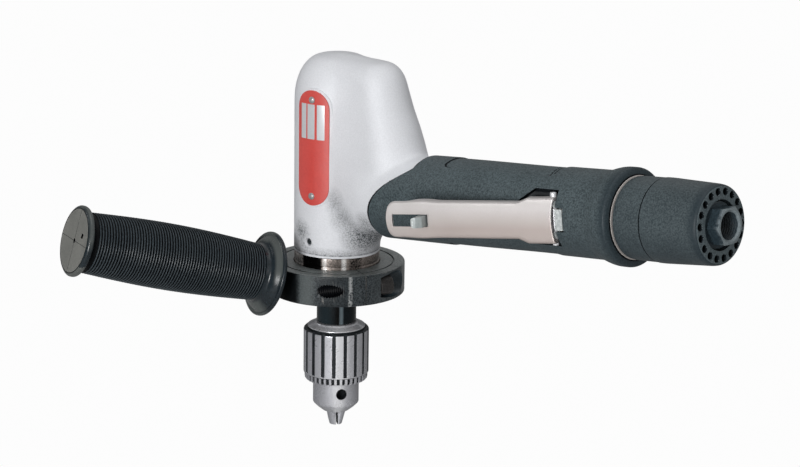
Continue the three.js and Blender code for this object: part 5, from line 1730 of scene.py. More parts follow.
@dataclass
class SideHandle(SubAssembly):
    """The ribbed side handle, turned about an axis that leans out of the collar."""

    angle: float = 252.0
    tilt: float = 15.65
    cross: float = -55.0
    nose: float = 41.4
    nose_radius: float = 13.4
    flange: float = 44.7
    flange_radius: float = 23.3
    grip_radius: float = 15.6
    swell: float = 2.1
    grip: Corner = (51.5, 154.6)
    ribs: int = 64
    rib_depth: float = 0.85
    rim_radius: float = 19.0
    widening: float = 0.5
    end: float = 159.8
    face_radius: float = 17.0
    bore: float = 5.3
    bore_end: float = 78.3

    @property
    def place(self) -> Matrix:
        """From a piece turned about Z to the handle's axis."""
        return turn("Z", self.angle) @ shift(
            0, 0, self.cross
        ) @ turn("Y", -self.tilt) @ turn("Y", 90)

    def _base(self, station: float) -> float:
        """The grip's radius over its ribs."""
        share = (station - self.grip[0]) / (self.grip[1] - self.grip[0])
        share = min(1.0, max(0.0, share))
        return self.grip_radius + self.swell * math.sin(share * math.pi) + self.widening * share

    def _rib_line(self) -> list[Corner]:
        """The ribs, as a row of rounded crests with narrow grooves."""
        start, end = self.grip[0] + 1.6, self.grip[1] - 2.0
        pitch = (end - start) / self.ribs
        steps = (
            (0.0, 1.0), (0.17, 0.95), (0.27, 0.6), (0.36, 0.18), (0.5, 0.0), (0.64, 0.18),
            (0.73, 0.6), (0.83, 0.95)
        )
        line = []
        for number in range(self.ribs):
            for at, depth in steps:
                station = start + (number + at) * pitch
                line.append((self._base(station) - self.rib_depth * depth, station))
        line.append((self._base(end) - self.rib_depth, end))
        return line

    def build(self) -> list[bpy.types.Object]:
        """Builds the handle."""
        front = softened([
            (0, self.nose, 0), (self.nose_radius, self.nose, 0.5), (18.2, 43.0, 1.0),
            (22.6, 44.0, 0.8),
            (self.flange_radius, self.flange, 0.5), (self.flange_radius, self.flange + 1.5, 0.7),
            (22.3, self.flange + 2.0, 0.4),
            (21.7, self.flange + 1.5, 0.3), (20.9, self.flange + 1.9, 0.5),
            (18.4, self.flange + 4.6, 1.6),
            (15.9, 50.6, 1.5), (15.55, 52.9, 0),
        ])
        back = softened([
            (15.3, 152.9, 0), (15.0, 153.8, 0.6), (15.5, 155.0, 0.8), (17.6, 155.9, 0.8),
            (self.rim_radius, 156.9, 0.7),
            (self.rim_radius, 158.8, 0.6), (self.face_radius + 0.8, self.end, 0.4),
            (self.face_radius, self.end, 0.1),
            (self.face_radius - 0.2, self.end - 0.15, 0), (0, self.end - 0.15, 0),
        ])
        line = front + self._rib_line() + back
        draft = lathe(line, 144, finish_at=self._finish_at)
        handle = raw_object("ribbed_handle", draft, self.place)
        hole = rod(1.25, self.end - 3, self.end + 3, 24)
        mark = slab((-5.7, -3.2), (7.5, 9.8), (self.end - 1.2, self.end + 2))
        cross = slab((-0.12, 0.12), (-17, 17), (self.end - 0.3, self.end + 1))
        second = slab((-17, 17), (-0.12, 0.12), (self.end - 0.3, self.end + 1))
        shape(
            handle, [rod(self.bore, self.nose - 6, self.bore_end, 48), hole, mark, cross, second],
            self.place
        )
        # painted shade down the marks in the end disc
        paint(handle, 2, self._in_marks, self.place)
        # painted reflection on the lower part of the far rim
        paint(handle, 4, self._on_low_rim, self.place)
        finishes = [MOULDED, MOULDED_END, SHADED_MOULDING, LIT_RIB_CREST, PAINTED_RIM_SHEEN]
        self.finish_piece(handle, finishes, Body.COLLAR, ["side_handle_grip"])
        return self.made

    def _finish_at(self, radius: float, station: float) -> int:
        """The disc's finish on the end, painted shade in the grooves round the disc and between
        ribs, a painted highlight on the rib crests, and the plain one elsewhere.
        """
        if station > self.end - 0.16 and radius < self.face_radius:
            return 1
        if station > self.end - 0.2 and radius < self.face_radius + 0.35:
            return 2
        if self.grip[1] - 1.9 < station < 155.3:
            return 2
        if self.grip[0] + 1.6 < station < self.grip[1] - 2.0:
            return 3 if radius > self._base(station) - 0.5 * self.rib_depth else 2
        return 0

    def _on_low_rim(self, point: Vector) -> bool:
        """Whether a point lies on the lower part of the far rim."""
        return point.z > 156.3 and math.hypot(point.x, point.y) > self.face_radius + 0.6 and (
            self.place @ point
        ).z < -22.5

    def _in_marks(self, point: Vector) -> bool:
        """Whether a point lies down the marks in the end disc."""
        return self.end - 3.2 < point.z < self.end - 0.18 and math.hypot(
            point.x, point.y
        ) < self.face_radius - 0.5


@dataclass
class SpindleNose(SubAssembly):
    """The spindle, of which a polished black nose shows above the chuck."""

    nose_radius: float = 11.0
    journal: float = 8.0
    stud_radius: float = 6.35
    stud_end: float = -90.5
    seat: float = -74.5
    shoulder: float = -54.7
    seal_radius: float = 10.75
    seal_start: float = -58.3

    def build(self) -> list[bpy.types.Object]:
        """Builds the nose with its shoulder and stud."""
        profile = [
            (0, self.stud_end, 0), (self.stud_radius, self.stud_end, 0.6),
            (self.stud_radius, self.seat, 0),
            (self.nose_radius, self.seat, 0.5), (self.nose_radius, self.seal_start, 0.1),
            (self.seal_radius, self.seal_start + 0.1, 0),
            (self.seal_radius, self.shoulder, 0.3), (self.journal, self.shoulder, 0),
            (self.journal, -46.8, 0), (0, -46.8, 0),
        ]
        piece = raw_object("spindle_nose", lathe(softened(profile), 128))
        self.finish_piece(piece, [BLACK_GLOSS], Body.SPINDLE)
        return self.made


@dataclass
class KeyedChuck(SubAssembly):
    """The chuck: a body with key holes, a fluted sleeve with a toothed crown, and three jaws."""

    back: float = -74.8
    cone: Corner = (16.15, -77.1)
    core: float = 14.0
    shoulder: float = -79.9
    nose_radius: float = 12.85
    nose_top: float = -105.4
    nose_bend: float = -121.9
    nose_end: float = -126.8
    nose_end_radius: float = 7.3
    throat: float = 5.6
    key_radius: float = 3.05
    key_height: float = -114.6
    key_depth: float = 5.0
    key_angle: float = -30.0
    sleeve_radius: float = 18.25
    sleeve_top: float = -78.25
    sleeve_bottom: float = -103.4
    sleeve_bore: float = 16.6
    rim: float = 0.9
    flutes: int = 18
    flute_half: float = 1.05
    flute_depth: float = 0.85
    flute_turn: float = 11.9
    teeth: int = 36
    crown_end: float = -108.3
    crown_radius: float = 16.7
    tooth_depth: float = 1.6
    tooth_top: float = -104.1
    crown_shoulder: float = -107.3
    crown_step: float = 17.75
    columns: int = 720
    jaw_radius: float = 2.6
    jaw_tilt: float = 12.0
    jaw_tip: float = -135.3
    jaw_tip_centre: float = 1.7
    jaw_tip_radius: float = 3.45
    jaw_slit: float = 0.5

    def _build_body(self) -> None:
        """The chuck's body."""
        profile = [
            (self.throat, -112, 0), (self.throat, self.nose_end, 0.25),
            (self.nose_end_radius, self.nose_end, 0.3),
            (10.4, -124.35, 1.0), (self.nose_radius, self.nose_bend, 0.7),
            (self.nose_radius, self.nose_top, 0),
            (self.core, self.nose_top, 0), (self.core, self.shoulder, 0),
            (self.cone[0], self.shoulder, 0.2),
            (self.cone[0], self.cone[1], 0.35), (12.7, -75.6, 0.6), (12.2, self.back, 0.4),
            (0, self.back, 0),
            (0, -91, 0), (6.65, -91, 0), (6.65, -112, 0),
        ]
        solid = [row for row in profile if row[:2] not in ((0, -91), (6.65, -91), (6.65, -112))]
        solid[0] = (self.throat, -112, 0)
        body = raw_object("chuck_nose", lathe(softened([(0, -112, 0), *solid]), 160))
        key = [(0, -1), (self.key_radius, -1), (self.key_radius, self.key_depth - 0.35),
               (self.key_radius + 0.6, self.key_depth + 0.5),
               (0, self.key_depth + 0.5)]
        floor = self.nose_radius - self.key_depth
        for number in range(3):
            place = turn(
                "Z", self.key_angle + 120 * number
            ) @ shift(floor, 0, self.key_height) @ turn("Y", 90)
            shape(body, [lathe(key, 48)], place)
        shape(body, [rod(6.65, self.back - 16.3, self.back + 6, 64)])
        # painted shade down the key holes
        paint(body, 1, self._in_key_hole)
        # painted light on the cone
        paint(body, 2, lambda point: point.z > self.cone[1] - 0.4)
        # painted shade in the ring between the cone and the sleeve
        paint(
            body, 1,
            lambda point: self.shoulder < point.z < self.cone[1] - 0.4 and math.hypot(
                point.x, point.y
            ) > 14
        )
        self.finish_piece(
            body, [CHUCK_STEEL, SHADED_STEEL, LIT_CONE_STEEL], Body.SPINDLE, ["chuck_body"]
        )

    def _in_key_hole(self, point: Vector) -> bool:
        """Whether a point lies down one of the key holes."""
        reach = math.hypot(point.x, point.y)
        return self.throat + 0.4 < reach < self.nose_radius - 0.2 and abs(
            point.z - self.key_height
        ) < self.key_radius + 0.3

    def _sleeve_radius_at(self, angle: float, radius: float, station: float) -> float:
        """The sleeve's outside at an angle, with its flutes and teeth taken out."""
        pitch = 360 / self.flutes
        off = abs((math.degrees(angle) - self.flute_turn + pitch / 2) % pitch - pitch / 2)
        across = math.radians(off) * self.sleeve_radius
        depth = self.flute_depth * (1 - eased((across - self.flute_half + 0.3) / 0.3))
        if station <= self.sleeve_bottom + 0.35:
            depth *= 1 - eased((self.sleeve_bottom + 0.35 - station) / 0.3)
        radius = min(radius, self.sleeve_radius - depth)
        tooth_pitch = 360 / self.teeth
        tooth = abs(
            (math.degrees(angle) + tooth_pitch / 2) % tooth_pitch - tooth_pitch / 2
        ) / tooth_pitch * 2
        bite = eased((0.62 - tooth) / 0.25)
        gate = eased((self.tooth_top - station) / 0.3)
        return radius - self.tooth_depth * bite * gate

    def _build_sleeve(self) -> None:
        """The fluted sleeve."""
        outer = softened([
            (self.cone[0] + 0.35, self.sleeve_top, 0),
            (self.sleeve_radius - self.rim, self.sleeve_top, 0.25),
            (self.sleeve_radius, self.sleeve_top - self.rim, 0.4),
            (self.sleeve_radius, self.tooth_top + 0.2, 0.1),
            (self.crown_step, self.tooth_top - 0.15, 0.1),
            (self.crown_step - 0.15, self.crown_shoulder, 0.5),
            (self.crown_radius, self.crown_end, 0.25), (self.core + 0.35, self.crown_end, 0),
        ], 4)
        dense: list[Corner] = []
        for (r0, z0), (r1, z1) in zip(outer, outer[1:]):
            parts = 1
            if r0 == r1 == self.sleeve_radius:
                parts = 10
            elif z0 < self.sleeve_bottom and abs(z1 - z0) > 0.3:
                parts = 3
            dense += [
                (r0 + (r1 - r0) * k / parts, z0 + (z1 - z0) * k / parts) for k in range(parts)
            ]
        for station in (-103.1, -103.25, -103.4):
            dense.append((self.sleeve_radius, station))
        for station in (self.tooth_top - 0.3, self.tooth_top - 0.5):
            dense.append((self.crown_step - 0.01, station))
        dense.append(outer[-1])
        top_rows = [row for row in dense[:-1] if row[1] > self.sleeve_bottom + 2]
        low_rows = [row for row in dense[:-1] if row[1] <= self.sleeve_bottom + 2]
        top_rows.sort(key=lambda row: (-row[1], row[0]))
        low_rows.sort(key=lambda row: (-row[1], -row[0]))
        rows = [*top_rows, *low_rows, dense[-1]]
        inner = [
            (self.core + 0.35, -102.0), (self.sleeve_bore, -101.2), (self.sleeve_bore, -80.6),
            (self.cone[0] + 0.35, -80.3)
        ]
        rings = []
        for radius, station in rows:
            ring = []
            for j in range(self.columns):
                angle = j / self.columns * FULL_TURN
                reach = self._sleeve_radius_at(angle, radius, station) if radius > 15.96 else radius
                ring.append(Vector((reach * math.cos(angle), reach * math.sin(angle), station)))
            rings.append(ring)
        for radius, station in inner:
            rings.append([
                Vector(
                    (
                        radius * math.cos(j / self.columns * FULL_TURN),
                        radius * math.sin(j / self.columns * FULL_TURN), station
                    )
                )
                for j in range(self.columns)
            ])
        draft = skin(rings, looped=True)
        for number, face in enumerate(draft.faces):
            middle = sum((draft.corners[i] for i in face), Vector()) / len(face)
            reach = math.hypot(middle.x, middle.y)
            # painted shade in the flutes, on the top rim, between the teeth and in the line above
            # them
            in_flute = (
                self.sleeve_radius - 1.2 < reach < self.sleeve_radius - 0.12
                and -103.9 < middle.z < self.sleeve_top - 0.6
            )
            in_rim = middle.z > self.sleeve_top - 0.62
            in_gullet = middle.z < self.tooth_top - 0.15 and self._gullet(middle)
            in_line = self.tooth_top - 0.12 < middle.z < self.tooth_top + 0.25
            draft.finish_of[number] = int(in_flute or in_rim or in_gullet or in_line)
        sleeve = raw_object("fluted_sleeve", draft)
        self.finish_piece(sleeve, [CHUCK_STEEL, SHADED_STEEL], Body.SLEEVE, ["chuck_sleeve"], 40)

    def _gullet(self, middle: Vector) -> bool:
        """Whether a point of the crown lies between two teeth."""
        tooth_pitch = 360 / self.teeth
        angle = math.degrees(math.atan2(middle.y, middle.x))
        return abs(
            (angle + tooth_pitch / 2) % tooth_pitch - tooth_pitch / 2
        ) / tooth_pitch * 2 < 0.52

    def _build_jaw(self, number: int) -> None:
        """One jaw: a leaning bar between two flats, tapered at its tip."""
        angle = self.key_angle + 60 + 120 * (number - 1)
        place = turn("Z", angle) @ shift(
            self.jaw_tip_centre, 0, self.jaw_tip
        ) @ turn("Y", self.jaw_tilt)
        jaw = raw_object(f"jaw_bar_{number}", rod(self.jaw_radius, -6, 30, 64), place)
        apex = self.jaw_slit / math.sin(math.radians(60))
        reach, spread = 28.0, 28.0 * math.tan(math.radians(60))
        sector = prism(
            [(apex, 0), (apex + reach, -spread), (apex + reach, spread)], self.jaw_tip,
            self.jaw_tip + 30
        )
        shape(jaw, [sector], turn("Z", angle), Shaping.WITHIN)
        taper = softened([
            (0, self.jaw_tip, 0), (self.jaw_tip_radius, self.jaw_tip, 0.35), (6.4, -124.2, 0),
            (self.core, -110.2, 0),
            (self.core, -98, 0), (0, -98, 0),
        ])
        shape(jaw, [lathe(taper, 96)], None, Shaping.WITHIN)
        # painted shade on the flats that face the other jaws
        paint(
            jaw, 1, lambda point: point.x < apex + 0.02 + abs(point.y) / math.tan(math.radians(60)),
            turn("Z", angle)
        )
        self.finish_piece(
            jaw, [CHUCK_STEEL, SHADED_STEEL], Body[f"JAW_{number}"], [f"chuck_jaw_{number}"]
        )

    def build(self) -> list[bpy.types.Object]:
        """Builds the body, the sleeve and the jaws."""
        self._build_body()
        self._build_sleeve()
        for number in (1, 2, 3):
            self._build_jaw(number)
        return self.made


@dataclass
class RearGrip(SubAssembly):
    """The moulded grip: a curved front edge, two bare sunk panels, a pocket and a rear bead."""

    radius: float = 23.1
    waist: float = 22.5
    bead: float = 24.8
    end_radius: float = 21.6
    bore: float = 18.8
    edge: float = 1.1
    waist_at: float = 165.0
    flare: float = 196.0
    bead_span: Corner = (207.0, 210.3)
    end: float = 212.0
    panel_half_angle: float = 28.5
    panel_span: Corner = (92.4, 168.2)
    panel_depth: float = 0.5
    tail_lines: Corner = (164.9, 166.7)
    groove_at: float = field(default=0.0, init=False)
    pocket_floor: float = 14.5
    pocket: tuple[Corner, ...] = ((153, 8), (162, 14.3), (177.7, 14.3), (177.7, 6.1), (182.9, 6.1))
    columns: int = 240

    def _outside(self, station: float) -> float:
        """The grip's radius along its axis."""
        low, high = self.bead_span
        if station <= self.waist_at:
            return self.radius + (self.waist - self.radius) * eased(
                (station - 96) / (self.waist_at - 96)
            )
        if station <= self.flare:
            return self.waist
        if station <= low:
            return self.waist + (self.bead - self.waist) * eased(
                (station - self.flare) / (low - self.flare)
            ) ** 0.7
        if station <= high:
            return self.bead
        drop = (station - high) / (self.end - high)
        return self.bead - (self.bead - self.end_radius) * (
            1 - math.sqrt(max(0.0, 1 - drop * drop))
        )

    def _panel(self, angle: float, station: float) -> float:
        """How deep a bare panel is sunk at an angle from the top and a station."""
        from_top = math.degrees(math.atan2(math.sin(angle), math.cos(angle)))
        from_middle = min(abs(from_top), 180 - abs(from_top))
        across = math.radians(from_middle - self.panel_half_angle) * self.radius
        middle = sum(self.panel_span) / 2
        along = abs(station - middle) - (self.panel_span[1] - self.panel_span[0]) / 2
        corner = 3.5
        outside = math.hypot(max(0.0, across + corner), max(0.0, along + corner)) - corner
        outside = outside if max(across + corner, along + corner) > 0 else max(across, along)
        self.groove_at = 0.0
        if station < middle and along > -6:
            self.groove_at = eased(1 - abs(outside) / 0.7)
        for start in self.tail_lines:
            line = station - start - 0.055 * (from_middle - 17)
            self.groove_at += eased(1 - abs(line) / 0.6) * eased(1.2 - (outside + 1.0) / 0.6)
        return self.panel_depth * (eased(0.5 - outside / 0.7) + self.groove_at)

    def _shaded(self, point: Vector) -> bool:
        """Whether a point in the handle's axes gets painted shade: in the front gap, on the inner
        end face, in a groove or in the pocket.
        """
        angle = math.atan2(-point.y, point.z)
        reach = math.hypot(point.y, point.z)
        if point.x < Saddle().at(angle) + 1.15 or (point.x > 211.2 and reach < 22.4):
            return True
        self._panel(angle, point.x)
        outer = reach > self.bore + 0.5
        in_pocket = 152.5 < point.x < 183.2 and point.y < 0 and reach < self.waist - 0.3 and abs(
            point.z
        ) < 14.6
        return outer and (self.groove_at > 0.35 or in_pocket)

    def _stations(self) -> list[float]:
        """Stations behind the curved front, closer together at the panels' ends."""
        rows = list(np.arange(97.0, 212.0, 1.0))
        rows += list(np.arange(152.0, 169.5, 0.3))
        rows += list(np.arange(205.0, 212.0, 0.35)) + [self.end]
        return sorted({round(float(row), 2) for row in rows if row >= 97.0})

    def _angles(self) -> list[float]:
        """Angles round the grip, closer together at the panels' sides."""
        angles = [360 * i / self.columns for i in range(self.columns)]
        for edge in (
            self.panel_half_angle, -self.panel_half_angle, 180 - self.panel_half_angle,
            180 + self.panel_half_angle
        ):
            angles += [(edge + step * 0.35) % 360 for step in range(-5, 6)]
        kept: list[float] = []
        for angle in sorted(angles):
            if not kept or angle - kept[-1] > 0.12:
                kept.append(angle)
        return [math.radians(angle) for angle in kept]

    def _sleeve(self, saddle: Saddle) -> Draft:
        """The moulded sleeve, closed through its bore."""
        angles = self._angles()
        settled = 97.0

        def ring(
            radius_at: Callable[[float, float], float], station_at: Callable[[float], float]
        ) -> list[Vector]:
            """One ring of the sleeve."""
            corners = []
            for angle in angles:
                station = station_at(angle)
                radius = radius_at(angle, station)
                corners.append(
                    Vector((station, -radius * math.sin(angle), radius * math.cos(angle)))
                )
            return corners

        rings = [ring(lambda a, s: self.bore, lambda a: saddle.at(a))]
        for k in range(6):
            t = k / 5 * math.pi / 2
            inset, back = self.edge * (1 - math.sin(t)), self.edge * (1 - math.cos(t))
            rings.append(
                ring(lambda a, s, i=inset: self.radius - i, lambda a, b=back: saddle.at(a) + b)
            )
        for k in range(1, 96):
            share = k / 96
            rings.append(ring(
                lambda a, s: self._outside(s) - self._panel(a, s),
                lambda a,
                h=share: saddle.at(a) + self.edge + (settled - saddle.at(a) - self.edge) * h,
            ))
        for station in self._stations():
            rings.append(
                ring(lambda a, s: self._outside(s) - self._panel(a, s), lambda a, h=station: h)
            )
        rings.append(ring(lambda a, s: self.bore, lambda a: self.end))
        return skin(rings, looped=True)

    def _pocket_tool(self) -> Draft:
        """The tool that presses the lever's pocket in from -Y."""
        half = [(x, z, 0.8) for x, z in self.pocket]
        outline = softened([*half, *[(x, -z, r) for x, z, r in reversed(half)]], 3, True)
        return prism(outline, self.pocket_floor, 36)

    def build(self) -> list[bpy.types.Object]:
        """Builds the grip."""
        handle = HandleFrame()
        grip = raw_object("moulded_grip", self._sleeve(Saddle()), handle.place)
        shape(grip, [self._pocket_tool()], handle.place @ turn("X", 90))
        # painted shade in the front gap, the grooves, the pocket and the inner end face
        paint(grip, 1, self._shaded, handle.place)
        self.finish_piece(grip, [COMPOSITE, COMPOSITE_SHADE], Body.DRILL, ["grip_sleeve"], 34)
        return self.made


@dataclass
class LeverFrame:
    """Where the lever's own axes are: X runs to its front end, Y points out of the handle."""

    hinge_at: float = 175.4
    hinge_depth: float = 19.5
    side_shift: float = -0.3
    opening: float = 20.0

    @property
    def place(self) -> Matrix:
        """From the lever's axes to the frame's."""
        return HandleFrame().place @ shift(
            self.hinge_at, -self.hinge_depth, self.side_shift
        ) @ turn("Z", 180 + self.opening)


@dataclass
class ThrottleLever(SubAssembly):
    """The bent sheet lever with its slot, and the pins through it."""

    front: float = 90.0
    rear: float = -1.8
    rear_dip: float = 1.9
    face: float = 5.5
    sheet: float = 1.5
    half: float = 9.3
    flare_half: float = 11.5
    flare_at: float = 12.4
    flare_run: float = 5.2
    front_corner: float = 6.0
    wall_end: float = 79.0
    bend: float = 0.9
    slot_span: Corner = (66.8, 86.6)
    slot_half: float = 3.2
    slot_shift: float = -0.5
    lock_at: float = 70.3
    lock_rise: float = 1.2
    pin_radius: float = 1.6
    pin_half: float = 13.4
    lock_pin_radius: float = 1.2

    def _half_at(self, x: float) -> float:
        """Half the lever's width along it."""
        if x <= self.flare_at:
            return self.flare_half
        if x <= self.flare_at + self.flare_run:
            return self.flare_half + (
                self.half - self.flare_half
            ) * (x - self.flare_at) / self.flare_run
        start = self.front - self.front_corner
        if x <= start:
            bulge = 0.45 * eased(1 - abs(x - self.lock_at) / 11.0)
            return self.half + bulge
        share = min(1.0, (x - start) / self.front_corner)
        return self.half * max(0.0, 1 - share**2.6) ** (1 / 2.6)

    def _wall_foot(self, x: float) -> float:
        """How low the lever's side walls reach at a place along it."""
        stops = (
            (self.rear, 1.0), (0.5, -2.4), (4.0, 0.0), (self.flare_at + 1.0, 0.0), (61.0, 0.0),
            (66.0, -1.0), (74.0, -1.0),
            (77.0, 3.0), (self.wall_end, self.face - self.sheet),
            (self.front, self.face - self.sheet),
        )
        return float(np.interp(x, [s[0] for s in stops], [s[1] for s in stops]))

    def _outer_line(self, x: float) -> list[Vector]:
        """The outside of the lever's section: up one wall, over the web and down the other."""
        half, foot = self._half_at(x), self._wall_foot(x)
        bend = min(self.bend, max(0.05, half * 0.5), max(0.05, self.face - foot))
        line = [(foot + (self.face - bend - foot) * k / 5, half) for k in range(6)]
        for k in range(1, 6):
            t = k / 5 * math.pi / 2
            line.append((self.face - bend + bend * math.sin(t), half - bend + bend * math.cos(t)))
        crown = 0.0
        for k in range(1, 12):
            share = k / 12
            line.append((self.face + crown, (half - bend) * (1 - 2 * share)))
        mirrored = [(y, -z) for y, z in line[:11]][::-1]
        line += mirrored
        dip = self.rear_dip * (1 - (abs(x - self.rear) / 6)) if x < self.rear + 6 else 0.0
        result = []
        for y, z in line:
            share = max(0.0, 1 - (z / self.flare_half) ** 2)
            result.append(Vector((x + max(0.0, dip) * share, y, z)))
        return result

    def _blank(self) -> Draft:
        """The lever as a folded sheet of even thickness."""
        start = self.front - self.front_corner
        xs = [
            self.rear, -1.0, 0.0, 1.5, 3.0, 5.0, 8.0, 11.0, self.flare_at, 13.2, 14.2, 15.4, 16.8,
            self.flare_at + self.flare_run
        ]
        xs += [
            20, 24, 28, 32, 36, 40, 44, 48, 52, 55, 58, 60, 62, 64, 66, 68, 70.3, 72.5, 74, 75.5,
            77, 78.2, 79, 80.5
        ]
        xs += [start + self.front_corner * math.sin(k / 10 * math.pi / 2) for k in range(0, 10)]
        outer = [self._outer_line(x) for x in xs]
        tip = self._outer_line(self.front - 0.03)
        outer.append(tip)
        middle = Vector((0, self.face, 0))
        draft = Draft()
        count = len(outer[0])
        for line in outer:
            draft.corners += line
        inner_first = len(draft.corners)
        for line in outer:
            for i, corner in enumerate(line):
                before, after = line[max(0, i - 1)], line[min(count - 1, i + 1)]
                along = (after - before)
                inward = Vector((0, along.z, -along.y))
                if inward.length < 1e-6:
                    inward = Vector((0, -1, 0))
                inward.normalize()
                if inward.dot(Vector((0, middle.y - 8, 0)) - Vector((0, corner.y, corner.z))) < 0:
                    inward = -inward
                draft.corners.append(corner + inward * self.sheet)
        rows = len(outer)
        for i in range(rows - 1):
            for j in range(count - 1):
                a = i * count + j
                draft.face((a, a + 1, a + count + 1, a + count))
                b = inner_first + a
                draft.face((b, b + count, b + count + 1, b + 1))
        for i in range(rows - 1):
            for j in (0, count - 1):
                a, b = i * count + j, inner_first + i * count + j
                draft.face((a, a + count, b + count, b))
        for i in (0, rows - 1):
            for j in range(count - 1):
                a, b = i * count + j, inner_first + i * count + j
                draft.face((a, b, b + 1, a + 1))
        return draft

    def build(self) -> list[bpy.types.Object]:
        """Builds the lever and its two pins."""
        place = LeverFrame().place
        lever = raw_object("sheet_lever", self._blank(), place)
        low, high = self.slot_shift - self.slot_half, self.slot_shift + self.slot_half
        outline = [(self.slot_span[0], low, 0.5), (self.slot_span[1], low, 0.5),
                   (self.slot_span[1], high, 0.5),
                   (self.slot_span[0], high, 0.5)]
        slot = prism(softened(outline, 3, True), -12, 0)
        shape(lever, [slot], place @ turn("X", 90))
        ease_edges(lever, 0.28, 50, 2)
        self.finish_piece(lever, [LEVER_STEEL], Body.LEVER, ["throttle_lever"], 38)
        handle = HandleFrame().place @ shift(LeverFrame().hinge_at, -LeverFrame().hinge_depth, 0)
        pin = raw_object(
            "hinge_pin", rod(self.pin_radius, -self.pin_half, self.pin_half, 40, 0.5), handle
        )
        self.finish_piece(pin, [BRIGHT_STEEL], Body.DRILL, ["lever_pin"])
        lock = rod(self.lock_pin_radius, -self.half - 0.3, self.half + 0.3, 32, 0.35)
        lock_pin = raw_object("tab_pin", lock, place @ shift(self.lock_at, self.lock_rise, 0))
        self.finish_piece(lock_pin, [BRIGHT_STEEL], Body.LEVER, ["lock_pin"])
        return self.made


@dataclass
class LockTab(SubAssembly):
    """The small tab in the lever's slot, with a round-nosed nub and a leg below."""

    at: float = 70.3
    rise: float = 1.2
    hub: float = 2.9
    nub: float = 11.2
    rear: float = -2.6
    front: float = 3.6
    half_width: float = 2.7
    leg: float = 13.0
    leg_half: float = 1.4
    side_shift: float = -0.5

    def build(self) -> list[bpy.types.Object]:
        """Builds the tab in one piece."""
        place = LeverFrame().place @ shift(self.at, self.rise, self.side_shift)
        outline = softened([
            (self.rear, -1.2, 1.0), (-self.leg_half, -2.6, 0.5), (-self.leg_half, -self.leg, 0.7),
            (self.leg_half, -self.leg, 0.7),
            (self.leg_half, -2.6, 0.5), (2.7, -1.2, 1.0), (2.7, 3.0, 0.6),
            (self.front, self.nub - 2.6, 1.0),
            (self.front - 0.5, self.nub, 1.6), (self.front - 3.0, self.nub, 0.9),
            (self.rear, self.nub - 2.2, 0.8),
            (self.rear, 3.0, 1.0),
        ], 4, True)
        tab = raw_object("lock_nub", prism(outline, -self.half_width, self.half_width), place)
        nose = self.front - self.half_width
        plan = [(self.rear - 1, -self.half_width), (nose, -self.half_width)]
        plan += [
            (
                nose + self.half_width * math.sin(t), -self.half_width * math.cos(t)
            ) for t in np.linspace(0.1, math.pi - 0.1, 15)
        ]
        plan += [(nose, self.half_width), (self.rear - 1, self.half_width)]
        shape(
            tab, [prism([(x, -z) for x, z in plan], -self.leg - 2, self.nub + 3)],
            place @ turn("X", -90), Shaping.WITHIN
        )
        ease_edges(tab, 0.5, 50, 3)
        # painted shade on all but the nub's tip
        paint(tab, 1, lambda point: point.x < self.front - 2.3 or point.y < self.nub - 5.5, place)
        self.finish_piece(tab, [PALE, PALE_SHADED], Body.TAB, ["lock_tab"], 40)
        return self.made


@dataclass
class HingeBracket(SubAssembly):
    """The pale hinge block with two ears and a tail behind the lever."""

    floor: float = 14.8
    base: float = 2.4
    front: float = 168.2
    rear: float = 177.4
    ear: float = 2.8
    ear_half: float = 9.2
    ear_top: float = 22.0
    tail_half: float = 5.3
    tail_end: float = 182.2
    tail_top: float = 22.0
    hinge_at: float = 175.4
    hinge_depth: float = 19.5

    def build(self) -> list[bpy.types.Object]:
        """Builds the bracket with eased edges."""
        place = HandleFrame().place
        plate = slab(
            (self.front, self.rear), (-self.floor - self.base, -self.floor),
            (-self.ear_half, self.ear_half)
        )
        block = raw_object("hinge_block", plate, place)
        tail = slab(
            (self.rear - 2.8, self.tail_end), (-self.floor - self.base, -self.floor),
            (-self.tail_half, self.tail_half)
        )
        rise = slab(
            (self.rear + 0.1, self.tail_end), (-self.tail_top, -self.floor),
            (-self.tail_half, self.tail_half)
        )
        ears = [
            slab(
                (self.hinge_at - 5.6, self.rear), (-self.ear_top, -self.floor),
                (min(a, b), max(a, b))
            )
            for a,
            b in (
                (self.ear_half - self.ear, self.ear_half),
                (-self.ear_half, self.ear - self.ear_half)
            )
        ]
        shape(block, [tail, rise, *ears], place, Shaping.ON)
        ease_edges(block, 0.7, 50, 4)
        hole = rod(1.75, -14.3, 14.3, 32)
        shape(block, [hole], place @ shift(self.hinge_at, -self.hinge_depth, 0))
        self.finish_piece(block, [PALE], Body.DRILL, ["lever_bracket"], 40)
        return self.made


